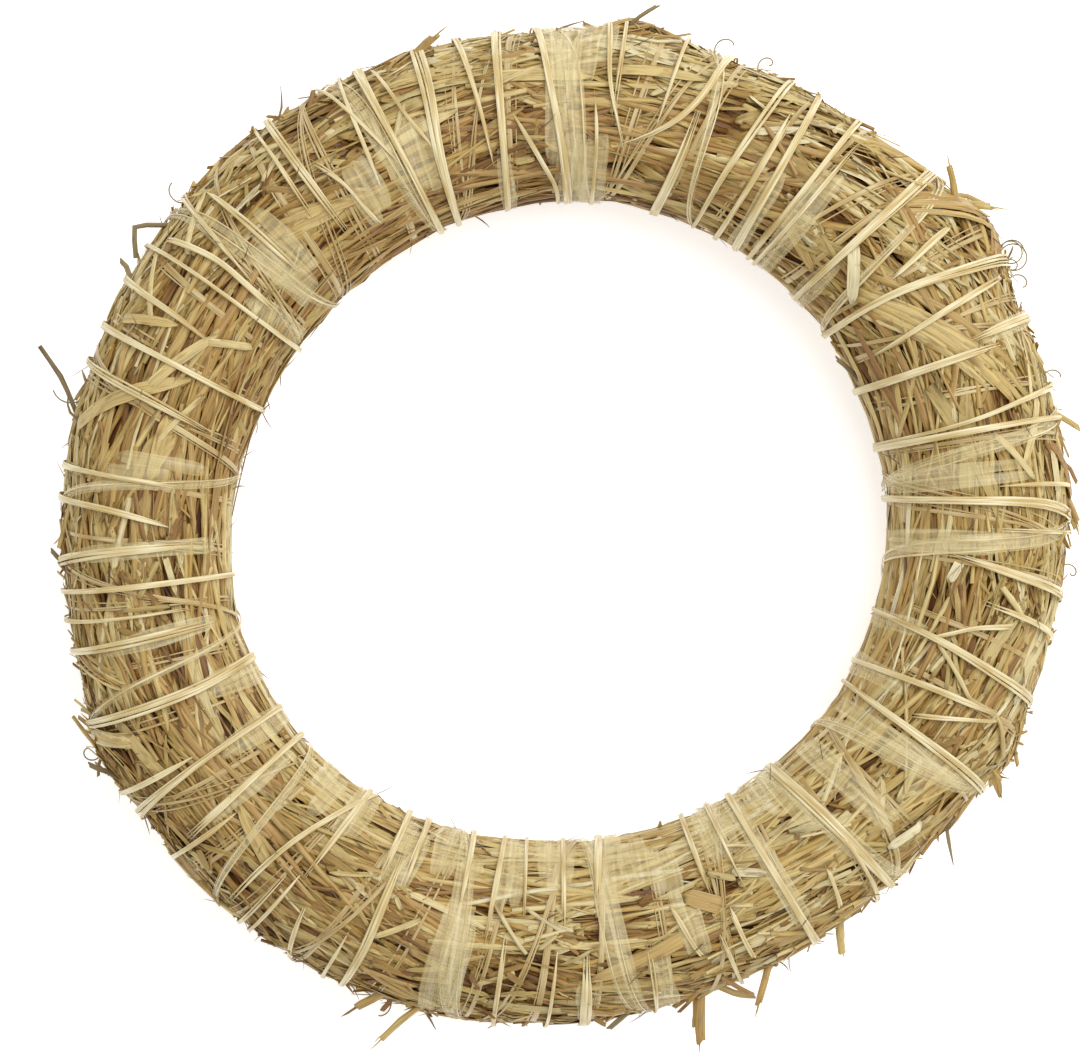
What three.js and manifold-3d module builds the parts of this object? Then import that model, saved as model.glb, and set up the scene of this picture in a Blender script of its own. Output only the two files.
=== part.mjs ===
// A straw wreath base, lying flat. A ring of bundled straw is bound with a narrow thread in close
// turns, with a second thread over it in wide ones, and with a flat film over both that winds the
// other way and opens out where it crosses the top. Single stalks stick out between the turns.
// Millimetres, +Z up. The origin is at the middle of the ring, on the surface that it lies on.
//
// Two angles give a place on the bundle. `along` runs anticlockwise round the ring, from +X.
// `around` runs round the bundle's own section: 0 is the outer edge, 90 the top, 180 the inner
// edge and 270 the underside. Both are in degrees.
import * as THREE from 'three';
import { mergeVertices } from 'three/addons/utils/BufferGeometryUtils.js';
import Module from 'manifold-3d';

// The ring.
const RING_RADIUS = 124; // to the middle of the bundle
const BUNDLE_RADIUS = 25.2;
const BUNDLE_HEIGHT_SHARE = 0.976; // the bundle is pressed a little flatter than it is wide
const CENTRE_HEIGHT = 23.4; // of the middle of the bundle, once its underside is pressed flat
const OVAL = { size: 2.1, at: 31 }; // the ring is pulled a little long on one diagonal
const LOPSIDED = { size: 0.6, at: -13 };
const THICK_AND_THIN = { size: 1.2, at: 16 }; // three thicker and three thinner stretches
const TUFTS = [ // bunches of straw ends that push the outer edge out
  { at: 36, height: 5.2, spread: 7 },
  { at: 81, height: 3.4, spread: 6 },
  { at: 207, height: 3.4, spread: 6 },
  { at: 333, height: 2.8, spread: 6 },
];
const STRAW_RELIEF = 0.6; // how far a bunch of stalks stands above or below its neighbours

// The binding. A sway is how far a turn is pushed along the ring over the whole of its top half.
const TURNS = 42; // of the thread
const TURN_SWAY = 0.2; // how far a turn strays from even spacing, as a share of the spacing
const THREAD = { width: 1.8, height: 0.7 };
const THREAD_LIFT = 0.65; // clears the straw that rises on both sides of the thread
const GROOVE_DEPTH = 1.4; // how far the thread pulls the bundle in
const WIDE_TURNS = 14; // of the second thread, and of the film
const SECOND_THREAD = {
  width: 1.6,
  height: 0.4,
  lift: 0.3,
  underside: 1.25, // its height below the bundle
  sways: [9, 8, 4, 5, 5, 4, -9, -9, -10, -7, -8, -10, -9, -9],
};
const FILM = {
  width: 3, // below the bundle, where it is gathered
  height: 0.4,
  lift: 1,
  underside: 0.55,
  sways: [-9, 4, -2, 10, 1, 5, 0, 1, 1, -9, -7, -8, -1, -5],
  widths: [7, 9, 9, 10, 12, 12, 4, 3.5, 5, 8, 8, 12, 4, 4], // on the top
  hurry: 0.7, // it moves along the ring under the bundle, and crosses the top nearly straight
};

// The faceting. Three columns of faces span each turn of the thread, and its groove is the first.
const STEPS = 12; // faces round the bundle's section
const CORNERS_OUT = 1.02; // so that the flats between the corners lie where a round bundle would
const COLUMNS_PER_TURN = 3;
const COLUMNS = TURNS * COLUMNS_PER_TURN;
const FLAT_STEPS = [8, 9]; // the two lowest corners of the section, which lie level
// Height of the underside, column by column, over the three thread turns between two film turns.
// It stands on the columns at 0, and is hollow where the binding passes under it.
const UNDERSIDE = [2.9, 2.9, 2.3, 2.3, 0, 0, 2.3, 2.3, 2.9];

// The stalks. Each starts between two turns and goes on in legs of [length, heading, rise]: heading
// 0 runs anticlockwise along the ring and 90 runs up round the section, and rise is away from it.
const STALK_BURIED = 8; // length of a stalk inside the bundle
const STALK_DEPTH = 1; // of the place where it leaves the bundle, below the tops of the straw
const STALK_SIDES = 3;
const STALK_THICKNESS = 0.6; // of its width
const SOCKET_GAP = 0.35;
const STALKS = {
  long_stalk_left: { at: 170, around: 12, width: 2.2, legs: [[13, 176, 34], [12, 178, 47]] },
  bent_stalk_left: { at: 138, around: 15, width: 2.6, legs: [[11, 10, 52], [10, 0, -42]] },
  hooked_stalk_left: { at: 165, around: 20, width: 1.2, legs: [[5, 180, 60], [5, 170, 10]] },
  stalk_upper_left: { at: 147, around: 20, width: 1.8, legs: [[6, 150, 40], [3, 120, 60]] },
  stalk_end_upper_left: { at: 107, around: 25, width: 3, legs: [[7, 170, 28], [4, 175, 20]] },
  hair_upper_left: { at: 125, around: 20, width: 1, legs: [[6, 190, 40], [6, 150, 55]] },
  hair_top: { at: 99, around: 15, width: 1, legs: [[7, 185, 24], [6, 180, 14]] },
  stalk_top: { at: 79, around: 12, width: 1.4, legs: [[7, 185, 48], [6, 190, 36]] },
  stalk_end_upper_right: { at: 39, around: 25, width: 3, legs: [[8, 4, 30], [4, 0, 24]] },
  stalk_right_corner: { at: 35, around: 10, width: 2.6, legs: [[6, 200, 45], [3, 190, 40]] },
  hair_right_corner: { at: 29, around: 5, width: 1, legs: [[7, 20, 55], [6, 80, 10]] },
  stalk_right: { at: 13, around: 10, width: 2, legs: [[7, 150, 42], [4, 160, 40]] },
  stalk_end_right: { at: 5, around: 0, width: 2.4, legs: [[7, 190, 24], [4, 184, 16]] },
  stalk_right_low: { at: 0, around: -8, width: 2, legs: [[8, 180, 26], [5, 175, 16]] },
  spike_lower_right: { at: 334, around: 10, width: 3.2, legs: [[6, 160, 42], [3, 165, 40]] },
  hanging_stalk_lower_right: { at: 322, around: 12, width: 1.6, legs: [[7, 185, 46], [6, 178, 50]] },
  stub_lower_right: { at: 306, around: 8, width: 2.8, legs: [[6, 150, 50], [5, 140, 55]] },
  split_stalk_bottom: { at: 288, around: 12, width: 3.4, legs: [[8, 178, 62], [8, 168, 60]] },
  forked_stalk_bottom: { at: 294, around: 16, width: 2.4, legs: [[8, 178, 50], [6, 172, 46]] },
  stub_bottom: { at: 279, around: 12, width: 1.8, legs: [[6, 200, 32], [4, 205, 28]] },
  stalk_bottom_left: { at: 249, around: 15, width: 2.2, legs: [[8, 190, 40], [8, 185, 46]] },
  hair_bottom_left: { at: 253, around: 10, width: 1.2, legs: [[5, 10, 40], [4, 30, 40]] },
  stalk_left_low: { at: 209, around: 15, width: 1.8, legs: [[6, 190, 42], [4, 200, 34]] },
  stub_left: { at: 185, around: 10, width: 1.6, legs: [[5, 165, 38], [3, 150, 30]] },
  stalk_inner_left: { at: 160, around: 172, width: 1.2, legs: [[6, 180, 24], [4, 180, 30]] },
  stalk_inner_right: { at: 25, around: 170, width: 1.6, legs: [[8, 10, 22], [4, 5, 28]] },
};

const MATERIALS = {
  straw: new THREE.MeshStandardMaterial({ color: '#b39a69', roughness: 0.75, flatShading: true }),
  stalk: new THREE.MeshStandardMaterial({ color: '#a58a5c', roughness: 0.7, flatShading: true }),
  thread: new THREE.MeshStandardMaterial({ color: '#e8dfb4', roughness: 0.45, flatShading: true }),
  film: new THREE.MeshStandardMaterial({ color: '#d6cf9f', roughness: 0.35, flatShading: true }),
};

const wasm = await Module();
wasm.setup();

const radians = THREE.MathUtils.degToRad;
const wave = (size, count, angle) => size * Math.cos(radians(count * angle));

// A repeatable scatter between -1 and 1 for a whole number.
function scatter(n) {
  const x = Math.sin(n * 12.9898) * 43758.5453;
  return 2 * (x - Math.floor(x)) - 1;
}

// Scatter smoothed between whole numbers, repeating after `period` of them.
function drift(x, period) {
  const whole = Math.floor(x);
  const here = scatter(THREE.MathUtils.euclideanModulo(whole, period));
  const next = scatter(THREE.MathUtils.euclideanModulo(whole + 1, period));
  return THREE.MathUtils.lerp(here, next, THREE.MathUtils.smoothstep(x - whole, 0, 1));
}

// 1 where the section angle faces the top, falling to 0 at the underside.
function facingUp(around) {
  return Math.cos(radians((around - 90) / 2)) ** 2;
}

// 1 over the whole of the top half, falling to 0 at the underside.
function topHalf(around) {
  return THREE.MathUtils.smoothstep(2 * facingUp(around), 0, 1);
}

function ringRadius(along) {
  return RING_RADIUS + wave(OVAL.size, 2, along - OVAL.at) + wave(LOPSIDED.size, 3, along - LOPSIDED.at);
}

// Radius of the bundle without its relief and grooves.
function bundleRadius(along, around) {
  let radius = BUNDLE_RADIUS + wave(THICK_AND_THIN.size, 3, along - THICK_AND_THIN.at);
  const outward = Math.max(0, Math.cos(radians(around))) ** 2;
  for (const { at, height, spread } of TUFTS) {
    const away = THREE.MathUtils.euclideanModulo(along - at + 180, 360) - 180;
    radius += height * Math.exp(-((away / spread) ** 2)) * outward;
  }
  return radius;
}

// The point `radius` from the middle of the bundle.
function onSection(along, around, radius) {
  const corner = CORNERS_OUT * radius;
  const reach = ringRadius(along) + corner * Math.cos(radians(around));
  return new THREE.Vector3(
    reach * Math.cos(radians(along)),
    reach * Math.sin(radians(along)),
    CENTRE_HEIGHT + BUNDLE_HEIGHT_SHARE * corner * Math.sin(radians(around)),
  );
}

function outwards(along, around) {
  const level = Math.cos(radians(around));
  return new THREE.Vector3(
    level * Math.cos(radians(along)),
    level * Math.sin(radians(along)),
    Math.sin(radians(around)),
  );
}

function anticlockwise(along) {
  return new THREE.Vector3(-Math.sin(radians(along)), Math.cos(radians(along)), 0);
}

// Where the thread is along the ring after `turn` turns.
function threadAlong(turn) {
  return (turn + TURN_SWAY * drift(turn, TURNS)) * (360 / TURNS);
}

// How far round the section a step's corner is, as a share of a turn.
const shareRound = (step) => (step + 0.5) / STEPS;

// The grid that the straw is faceted on. It leans with the thread, so that one time round the
// section moves a column on to the next turn's.
function gridPlace(column, step) {
  const turn = Math.floor(column / COLUMNS_PER_TURN) + shareRound(step);
  const share = (column % COLUMNS_PER_TURN) / COLUMNS_PER_TURN;
  return {
    along: THREE.MathUtils.lerp(threadAlong(turn), threadAlong(turn + 1), share),
    around: 360 * shareRound(step),
  };
}

function strawPoint(gridColumn, gridStep) {
  const wrapped = gridStep === STEPS;
  const step = wrapped ? 0 : gridStep;
  const column = (gridColumn + (wrapped ? COLUMNS_PER_TURN : 0)) % COLUMNS;
  const { along, around } = gridPlace(column, step);
  const inGroove = column % COLUMNS_PER_TURN === 0;
  const bunch = Math.floor(((column + 2 * step) % COLUMNS) / 6);
  const relief = STRAW_RELIEF * scatter(31 * step + bunch + 1) * (inGroove ? 0.25 : 1);
  const point = onSection(along, around, bundleRadius(along, around) + relief - (inGroove ? GROOVE_DEPTH : 0));
  if (FLAT_STEPS.includes(step)) point.z = UNDERSIDE[column % UNDERSIDE.length];
  return point;
}

// The three corners of a binding's section: its two edges on the straw, and the ridge between them.
function bindingCorner(foot, along, around, width, height, corner) {
  if (corner === 1) return foot.addScaledVector(outwards(along, around), height);
  return foot.addScaledVector(anticlockwise(along), corner === 0 ? width / 2 : -width / 2);
}

function threadPoint(place, corner) {
  const turn = Math.floor(place / STEPS) % TURNS;
  const step = place % STEPS;
  const { along, around } = gridPlace(turn * COLUMNS_PER_TURN, step);
  const foot = strawPoint(turn * COLUMNS_PER_TURN, step);
  foot.addScaledVector(outwards(along, around), THREAD_LIFT);
  return bindingCorner(foot, along, around, THREAD.width, THREAD.height, corner);
}

// A corner of a binding that lies over the thread. alongAt gives its place in a turn.
function overPoint(spec, place, corner, alongAt) {
  const turn = Math.floor(place / STEPS) % WIDE_TURNS;
  const step = place % STEPS;
  const around = 360 * shareRound(step);
  // A crossing of the top begins and ends at the underside, three quarters round.
  const crossing = (turn + (around > 270 ? 1 : 0)) % WIDE_TURNS;
  const along = alongAt(turn, shareRound(step)) + spec.sways[crossing] * topHalf(around);
  const foot = onSection(along, around, bundleRadius(along, around) + STRAW_RELIEF + spec.lift);
  if (FLAT_STEPS.includes(step)) foot.z = spec.underside;
  const opened = spec.widths ? spec.widths[crossing] : spec.width;
  const width = THREE.MathUtils.lerp(spec.width, opened, facingUp(around) ** 2);
  return bindingCorner(foot, along, around, width, spec.height, corner);
}

// Both windings pass under the bundle in the hollows of its underside, three quarters round.
const WIDE_SPACING = 360 / WIDE_TURNS;
const HOLLOW = 0.75 * (360 / TURNS);

function secondThreadPoint(place, corner) {
  return overPoint(SECOND_THREAD, place, corner, (turn, round) => HOLLOW + (turn + round - 0.75) * WIDE_SPACING);
}

function filmPoint(place, corner) {
  return overPoint(FILM, place, corner, (turn, round) => {
    const hurried = round - (FILM.hurry / (2 * Math.PI)) * Math.sin(2 * Math.PI * (round - 0.25));
    return HOLLOW - (turn + hurried - 0.75) * WIDE_SPACING;
  });
}

// Moves every vertex of a torus or a cylinder to place(across, round), counted in whole faces.
function shaped(geometry, across, round, place) {
  const uv = geometry.getAttribute('uv');
  const position = geometry.getAttribute('position');
  for (let i = 0; i < position.count; i++) {
    const point = place(Math.round(uv.getX(i) * across), Math.round(uv.getY(i) * round));
    position.setXYZ(i, point.x, point.y, point.z);
  }
  geometry.deleteAttribute('uv');
  geometry.deleteAttribute('normal');
  return mergeVertices(geometry);
}

function strawRing() {
  const torus = new THREE.TorusGeometry(1, 0.5, STEPS, COLUMNS);
  return shaped(torus, COLUMNS, STEPS, (column, step) => strawPoint(column % COLUMNS, step));
}

function binding(turns, pointAt) {
  const places = turns * STEPS;
  const torus = new THREE.TorusGeometry(1, 0.5, 3, places);
  return shaped(torus, places, 3, (place, corner) => pointAt(place % places, corner % 3));
}

// The ring angle halfway between the two turns of thread that are nearest to `at`.
function betweenTurns(at, around) {
  const round = around / 360;
  const turn = Math.floor(at / (360 / TURNS) - round);
  return (threadAlong(turn + round) + threadAlong(turn + 1 + round)) / 2;
}

// The stalk's line: a buried point, the place where it leaves the bundle, and the end of each leg.
function stalkLine({ at, around, legs }, buried) {
  const along = betweenTurns(at, around);
  const out = outwards(along, around);
  const forward = anticlockwise(along);
  const upRound = new THREE.Vector3().crossVectors(out, forward).negate();
  const surface = bundleRadius(along, around) + STRAW_RELIEF;
  const points = [onSection(along, around, surface - STALK_DEPTH)];
  for (const [length, heading, rise] of legs) {
    const direction = new THREE.Vector3()
      .addScaledVector(forward, Math.cos(radians(rise)) * Math.cos(radians(heading)))
      .addScaledVector(upRound, Math.cos(radians(rise)) * Math.sin(radians(heading)))
      .addScaledVector(out, Math.sin(radians(rise)));
    if (points.length === 1) points.unshift(points[0].clone().addScaledVector(direction, -buried));
    points.push(points.at(-1).clone().addScaledVector(direction, length));
  }
  return { points, out };
}

// A flattened stalk that tapers to its tip. `grown` widens and lengthens it, to cut its socket.
function stalk(spec, grown = 0) {
  const { points, out } = stalkLine(spec, STALK_BURIED + grown);
  const segments = points.length - 1;
  const rod = new THREE.CylinderGeometry(1, 1, 1, STALK_SIDES, segments);
  const position = rod.getAttribute('position');
  for (let i = 0; i < position.count; i++) {
    const level = Math.round((position.getY(i) + 0.5) * segments);
    const direction = points[Math.min(level + 1, segments)].clone().sub(points[Math.max(level - 1, 0)]).normalize();
    const side = new THREE.Vector3().crossVectors(out, direction).normalize();
    const top = new THREE.Vector3().crossVectors(direction, side);
    const half = (spec.width / 2) * (1 - (0.5 * level) / segments) + grown;
    const corner = points[level].clone()
      .addScaledVector(side, position.getZ(i) * half)
      .addScaledVector(top, position.getX(i) * ((half - grown) * STALK_THICKNESS + grown));
    position.setXYZ(i, corner.x, corner.y, corner.z);
  }
  rod.deleteAttribute('uv');
  rod.deleteAttribute('normal');
  return mergeVertices(rod);
}

function solid(geometry) {
  const triVerts = new Uint32Array(geometry.index.array);
  return new wasm.Manifold(
    new wasm.Mesh({ numProp: 3, vertProperties: geometry.getAttribute('position').array, triVerts }),
  );
}

function geometryOf(manifold) {
  const { vertProperties, triVerts } = manifold.getMesh();
  const geometry = new THREE.BufferGeometry()
    .setAttribute('position', new THREE.BufferAttribute(vertProperties, 3))
    .setIndex(new THREE.BufferAttribute(triVerts, 1));
  geometry.computeVertexNormals();
  return geometry;
}

function piece(name, geometry, material) {
  const mesh = new THREE.Mesh(geometry, material);
  mesh.name = name;
  return mesh;
}

const wreath = new THREE.Group();
let straw = solid(strawRing());
for (const [name, spec] of Object.entries(STALKS)) {
  straw = straw.subtract(solid(stalk(spec, SOCKET_GAP)));
  wreath.add(piece(name, stalk(spec), MATERIALS.stalk));
}
wreath.add(piece('straw_bundle', geometryOf(straw), MATERIALS.straw));
wreath.add(piece('binding_thread', binding(TURNS, threadPoint), MATERIALS.thread));
wreath.add(piece('second_thread', binding(WIDE_TURNS, secondThreadPoint), MATERIALS.thread));
wreath.add(piece('binding_film', binding(WIDE_TURNS, filmPoint), MATERIALS.film));

export default wreath;
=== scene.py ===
"""A straw wreath base, lying flat.

Stalks are laid round the ring in layers, from a dark core out. They bulge between the turns of the
binding and are pinched in under them. A thread is wound round them in narrow turns and a second one
over it in wide turns, and a thin film is wound over both the other way. More threads and open sheets
of film lie over the rest on top. Chaff, fibres, frayed tufts and single loose stalks finish it.
Layout is in millimetres and degrees, and a mesh is in metres.

`along` runs anticlockwise round the ring from +X. `around` runs round the bundle's section: 0 is the
outer edge, 90 the top, 180 the inner edge and 270 the underside.
"""
import math

import bpy
import numpy as np
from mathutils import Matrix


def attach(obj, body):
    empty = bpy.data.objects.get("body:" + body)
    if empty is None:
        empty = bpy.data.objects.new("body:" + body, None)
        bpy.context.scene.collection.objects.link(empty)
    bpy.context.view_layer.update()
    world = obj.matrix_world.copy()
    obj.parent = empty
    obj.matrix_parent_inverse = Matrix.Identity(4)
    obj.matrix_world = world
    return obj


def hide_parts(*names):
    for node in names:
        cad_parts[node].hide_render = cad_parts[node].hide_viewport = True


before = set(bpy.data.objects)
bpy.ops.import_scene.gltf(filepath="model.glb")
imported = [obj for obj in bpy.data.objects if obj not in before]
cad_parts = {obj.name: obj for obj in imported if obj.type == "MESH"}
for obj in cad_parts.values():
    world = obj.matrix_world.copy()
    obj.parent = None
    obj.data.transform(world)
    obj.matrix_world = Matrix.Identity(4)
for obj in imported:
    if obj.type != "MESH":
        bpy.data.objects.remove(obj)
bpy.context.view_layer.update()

MM = 0.001

# ---------------------------------------------------------------- the ring, as in the part

RING_RADIUS = 124.0
BUNDLE_RADIUS = 25.2
BUNDLE_HEIGHT_SHARE = 0.976
CENTRE_HEIGHT = 23.4
OVAL = (2.1, 31.0)  # how much it is, and where
LOPSIDED = (0.6, -13.0)
THICK_AND_THIN = (1.2, 16.0)
TUFT_BULGES = ((36, 5.2, 7), (81, 3.4, 6), (207, 3.4, 6), (333, 2.8, 6))  # along, height, spread
STRAW_RELIEF = 0.6

THREAD_TURNS = 42
THREAD_SWAY = 0.2
WIDE_TURNS = 14  # of the second thread, and of the film
WIDE_SPACING = 360 / WIDE_TURNS
HOLLOW = 0.75 * (360 / THREAD_TURNS)  # where a wide winding first passes under the bundle
SECOND_SWAYS = np.array([9, 8, 4, 5, 5, 4, -9, -9, -10, -7, -8, -10, -9, -9])
FILM_SWAYS = np.array([-9, 4, -2, 10, 1, 5, 0, 1, 1, -9, -7, -8, -1, -5])
FILM_WIDTHS = np.array([7, 9, 9, 10, 12, 12, 4, 3.5, 5, 8, 8, 12, 4, 4])
FILM_HURRY = 0.7
FILM_NARROW = 3.0


def wave(size, count, angle):
    return size * np.cos(np.radians(count * angle))


def smooth(x):
    x = np.clip(x, 0, 1)
    return x * x * (3 - 2 * x)


def scatter(n):
    """A number from -1 to 1 for each n, with no pattern that shows."""
    x = np.sin(n * 12.9898) * 43758.5453
    return 2 * (x - np.floor(x)) - 1


def drift(x, period, seed=0):
    """Scatter smoothed between whole numbers, repeating after `period` of them."""
    whole = np.floor(x)
    here = scatter(whole % period + seed)
    after = scatter((whole + 1) % period + seed)
    return here + (after - here) * smooth(x - whole)


def facing_up(around):
    """1 at the top, and 0 underneath."""
    return np.cos(np.radians((around - 90) / 2)) ** 2


def ring_radius(along):
    return RING_RADIUS + wave(OVAL[0], 2, along - OVAL[1]) + wave(LOPSIDED[0], 3, along - LOPSIDED[1])


def bundle_radius(along, around):
    """From the middle of the bundle's section to its surface, which bulges outwards at the tufts."""
    radius = BUNDLE_RADIUS + wave(THICK_AND_THIN[0], 3, along - THICK_AND_THIN[1])
    outward = np.maximum(0, np.cos(np.radians(around))) ** 2
    for at, height, spread in TUFT_BULGES:
        away = (along - at + 180) % 360 - 180
        radius = radius + height * np.exp(-((away / spread) ** 2)) * outward
    return radius


def on_bundle(along, around, height):
    """Points that stand `height` off the bundle."""
    radius = bundle_radius(along, around) + height
    reach = ring_radius(along) + radius * np.cos(np.radians(around))
    up = CENTRE_HEIGHT + BUNDLE_HEIGHT_SHARE * radius * np.sin(np.radians(around))
    return np.stack([reach * np.cos(np.radians(along)), reach * np.sin(np.radians(along)), up], -1)


def outwards(along, around):
    level = np.cos(np.radians(around))
    return np.stack(
        [level * np.cos(np.radians(along)), level * np.sin(np.radians(along)), np.sin(np.radians(around))], -1
    )


def anticlockwise(along):
    return np.stack([-np.sin(np.radians(along)), np.cos(np.radians(along)), np.zeros_like(along)], -1)


# ---------------------------------------------------------------- the routes of the binding


def thread_along(turn):
    return (turn + THREAD_SWAY * drift(turn, THREAD_TURNS)) * (360 / THREAD_TURNS)


def thread_route(turn, around):
    return thread_along(turn + around / 360)


def crossing(turn, around):
    """The number of the top crossing that a place on a wide winding belongs to."""
    return (turn + (around > 270)) % WIDE_TURNS


def second_thread_route(turn, around):
    straight = HOLLOW + (turn + around / 360 - 0.75) * WIDE_SPACING
    return straight + SECOND_SWAYS[crossing(turn, around)] * smooth(2 * facing_up(around))


def film_route(turn, around):
    hurried = around / 360 - FILM_HURRY / math.tau * np.sin(np.radians(around - 90))
    straight = HOLLOW - (turn + hurried - 0.75) * WIDE_SPACING
    return straight + FILM_SWAYS[crossing(turn, around)] * smooth(2 * facing_up(around))


TABLE_ALONG = 0.5  # degrees between the rows of a distance table
TABLE_AROUND = 5.0
FAR = 99.0


def film_width(around, turn):
    return FILM_NARROW + (FILM_WIDTHS[crossing(turn, around)] - FILM_NARROW) * facing_up(around) ** 2


def distance_table(routes):
    """A table of the distance to the nearest turn's edge, over along and around."""
    around = np.arange(0, 360, TABLE_AROUND)
    along = np.arange(0, 360, TABLE_ALONG)
    scale = np.radians(RING_RADIUS + BUNDLE_RADIUS * np.cos(np.radians(around)))
    nearest = np.full((len(along), len(around)), FAR)
    for route, turns, width in routes:
        for turn in range(turns):
            apart = np.abs((along[:, None] - route(turn, around)[None, :] + 180) % 360 - 180) * scale
            half = width(around, turn) / 2 if width else 0
            nearest = np.minimum(nearest, np.maximum(apart - half, 0))
    return nearest


THREAD_DISTANCE = distance_table(
    [(thread_route, THREAD_TURNS, None), (second_thread_route, WIDE_TURNS, None)]
)
FILM_DISTANCE = distance_table([(film_route, WIDE_TURNS, film_width)])


def from_table(table, along, around):
    """The table's value at a place, blended from the four nearest."""
    i = (along % 360) / TABLE_ALONG
    j = (around % 360) / TABLE_AROUND
    i0, j0 = np.floor(i).astype(int), np.floor(j).astype(int)
    fi, fj = i - i0, j - j0
    rows, columns = table.shape
    i0, j0 = i0 % rows, j0 % columns
    i1, j1 = (i0 + 1) % rows, (j0 + 1) % columns
    near = table[i0, j0] * (1 - fj) + table[i0, j1] * fj
    far = table[i1, j0] * (1 - fj) + table[i1, j1] * fj
    return near * (1 - fi) + far * fi


PUFFED = 0.9  # height of the straw between the turns
THREAD_PINCH = -0.5  # under a thread
THREAD_PINCH_REACH = 5.0  # distance over which it rises again
FILM_PINCH = 0.0  # under the film
FILM_PINCH_REACH = 4.0

# Places where straw is missing, so that the depths show: along, around, and the sizes in degrees.
HOLLOWS = (
    (66, 62, 5, 16), (69, 84, 4, 12), (90.5, 42, 2, 8), (109, 30, 2, 8), (35, 42, 3, 9), (14.5, 72, 3, 12),
    (7, 40, 3, 8), (354, 102, 2.2, 8), (353, 50, 2.5, 8), (322, 86, 4, 5), (315, 106, 2, 6),
    (310, 60, 4, 8), (278.5, 98, 4, 8), (267, 74, 4, 8), (262, 60, 5, 10), (252, 45, 5, 14),
    (226, 50, 6, 10), (208, 38, 3, 10), (199, 103, 4, 8), (188, 112, 4, 10), (188, 60, 4, 8),
    (166, 66, 4, 8), (150, 60, 5, 9), (133, 66, 6, 12), (122, 40, 5, 16), (118, 76, 4, 9), (48, 100, 6, 9),
    (82, 132, 4, 7), (93, 126, 4, 6), (340, 92, 3, 6), (296, 100, 4, 8),
)
HOLLOW_DEPTH = 3.6


def hollow_depth(along, around):
    """How far the straw is sunk there."""
    depth = 0.0
    for at, where, size, height in HOLLOWS:
        away = (along - at + 180) % 360 - 180
        depth = depth + np.exp(-((away / size) ** 2) - ((around - where) / height) ** 2)
    return HOLLOW_DEPTH * np.minimum(depth, 1)


def straw_ceiling(along, around):
    """Height that the straw reaches: low under the binding and in the hollows, high between turns."""
    thread = smooth(from_table(THREAD_DISTANCE, along, around) / THREAD_PINCH_REACH)
    film = smooth(from_table(FILM_DISTANCE, along, around) / FILM_PINCH_REACH)
    ceiling = np.minimum(
        THREAD_PINCH + (PUFFED - THREAD_PINCH) * thread, FILM_PINCH + (PUFFED - FILM_PINCH) * film
    )
    return ceiling - hollow_depth(along, around)


# ---------------------------------------------------------------- modelling by hand


def deselect():
    bpy.ops.object.select_all(action="DESELECT")


def pick(test, kind="VERT"):
    """Selects the open mesh's vertices (or faces, by their middle) whose place passes the test."""
    obj = bpy.context.object
    bpy.ops.mesh.select_mode(type=kind)
    bpy.ops.mesh.select_all(action="DESELECT")
    bpy.ops.object.mode_set(mode="OBJECT")
    if kind == "VERT":
        for vertex in obj.data.vertices:
            vertex.select = bool(test(vertex.co))
    else:
        for face in obj.data.polygons:
            face.select = bool(test(face.center))
    bpy.ops.object.mode_set(mode="EDIT")


def rod(name, sides, segments):
    """A rod along X from 0 to 1, of radius 1, cut across into segments."""
    deselect()
    bpy.ops.mesh.primitive_cylinder_add(
        vertices=sides, radius=1, depth=1, location=(0.5, 0, 0), rotation=(0, math.pi / 2, 0)
    )
    obj = bpy.context.object
    obj.name = name
    bpy.ops.object.transform_apply(location=True, rotation=True, scale=True)
    bpy.ops.object.mode_set(mode="EDIT")
    for cut in range(1, segments):
        bpy.ops.mesh.select_all(action="SELECT")
        bpy.ops.mesh.bisect(plane_co=(cut / segments, 0, 0), plane_no=(1, 0, 0))
    return obj


def reshape(test, size=(1, 1, 1), centre=(0, 0, 0), move=(0, 0, 0)):
    """Scales and moves the open mesh's vertices that pass the test."""
    pick(test)
    bpy.ops.transform.resize(value=size, center_override=centre)
    if any(move):
        bpy.ops.transform.translate(value=move)


def finished(obj):
    bpy.ops.mesh.select_all(action="SELECT")
    bpy.ops.mesh.normals_make_consistent(inside=False)
    bpy.ops.object.mode_set(mode="OBJECT")
    return obj


STALK_SEGMENTS = 6


def whole_stalk():
    """A round stalk with a knot two thirds along, and hollow cut ends."""
    obj = rod("whole_stalk", 5, STALK_SEGMENTS)
    knot = 4 / STALK_SEGMENTS
    reshape(lambda co: abs(co.x - knot) < 0.01, size=(1, 1.16, 1.16))
    for end, inwards in ((0, 0.012), (1, -0.012)):
        pick(lambda co: abs(co.x - end) < 0.001, "FACE")
        bpy.ops.mesh.inset(thickness=0.35)
        bpy.ops.transform.translate(value=(inwards, 0, 0))
    return finished(obj)


def split_stalk():
    """A stalk split lengthwise: round above, hollowed below, and torn across at one end."""
    obj = rod("split_stalk", 6, STALK_SEGMENTS)
    reshape(lambda co: co.z < -0.2, size=(1, 0.55, -0.25))
    reshape(lambda co: co.x > 0.99 and co.y > 0.1, move=(-0.05, 0, 0))
    reshape(lambda co: co.x > 0.99, size=(1, 0.75, 0.8), centre=(1, 0, 0))
    return finished(obj)


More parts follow.
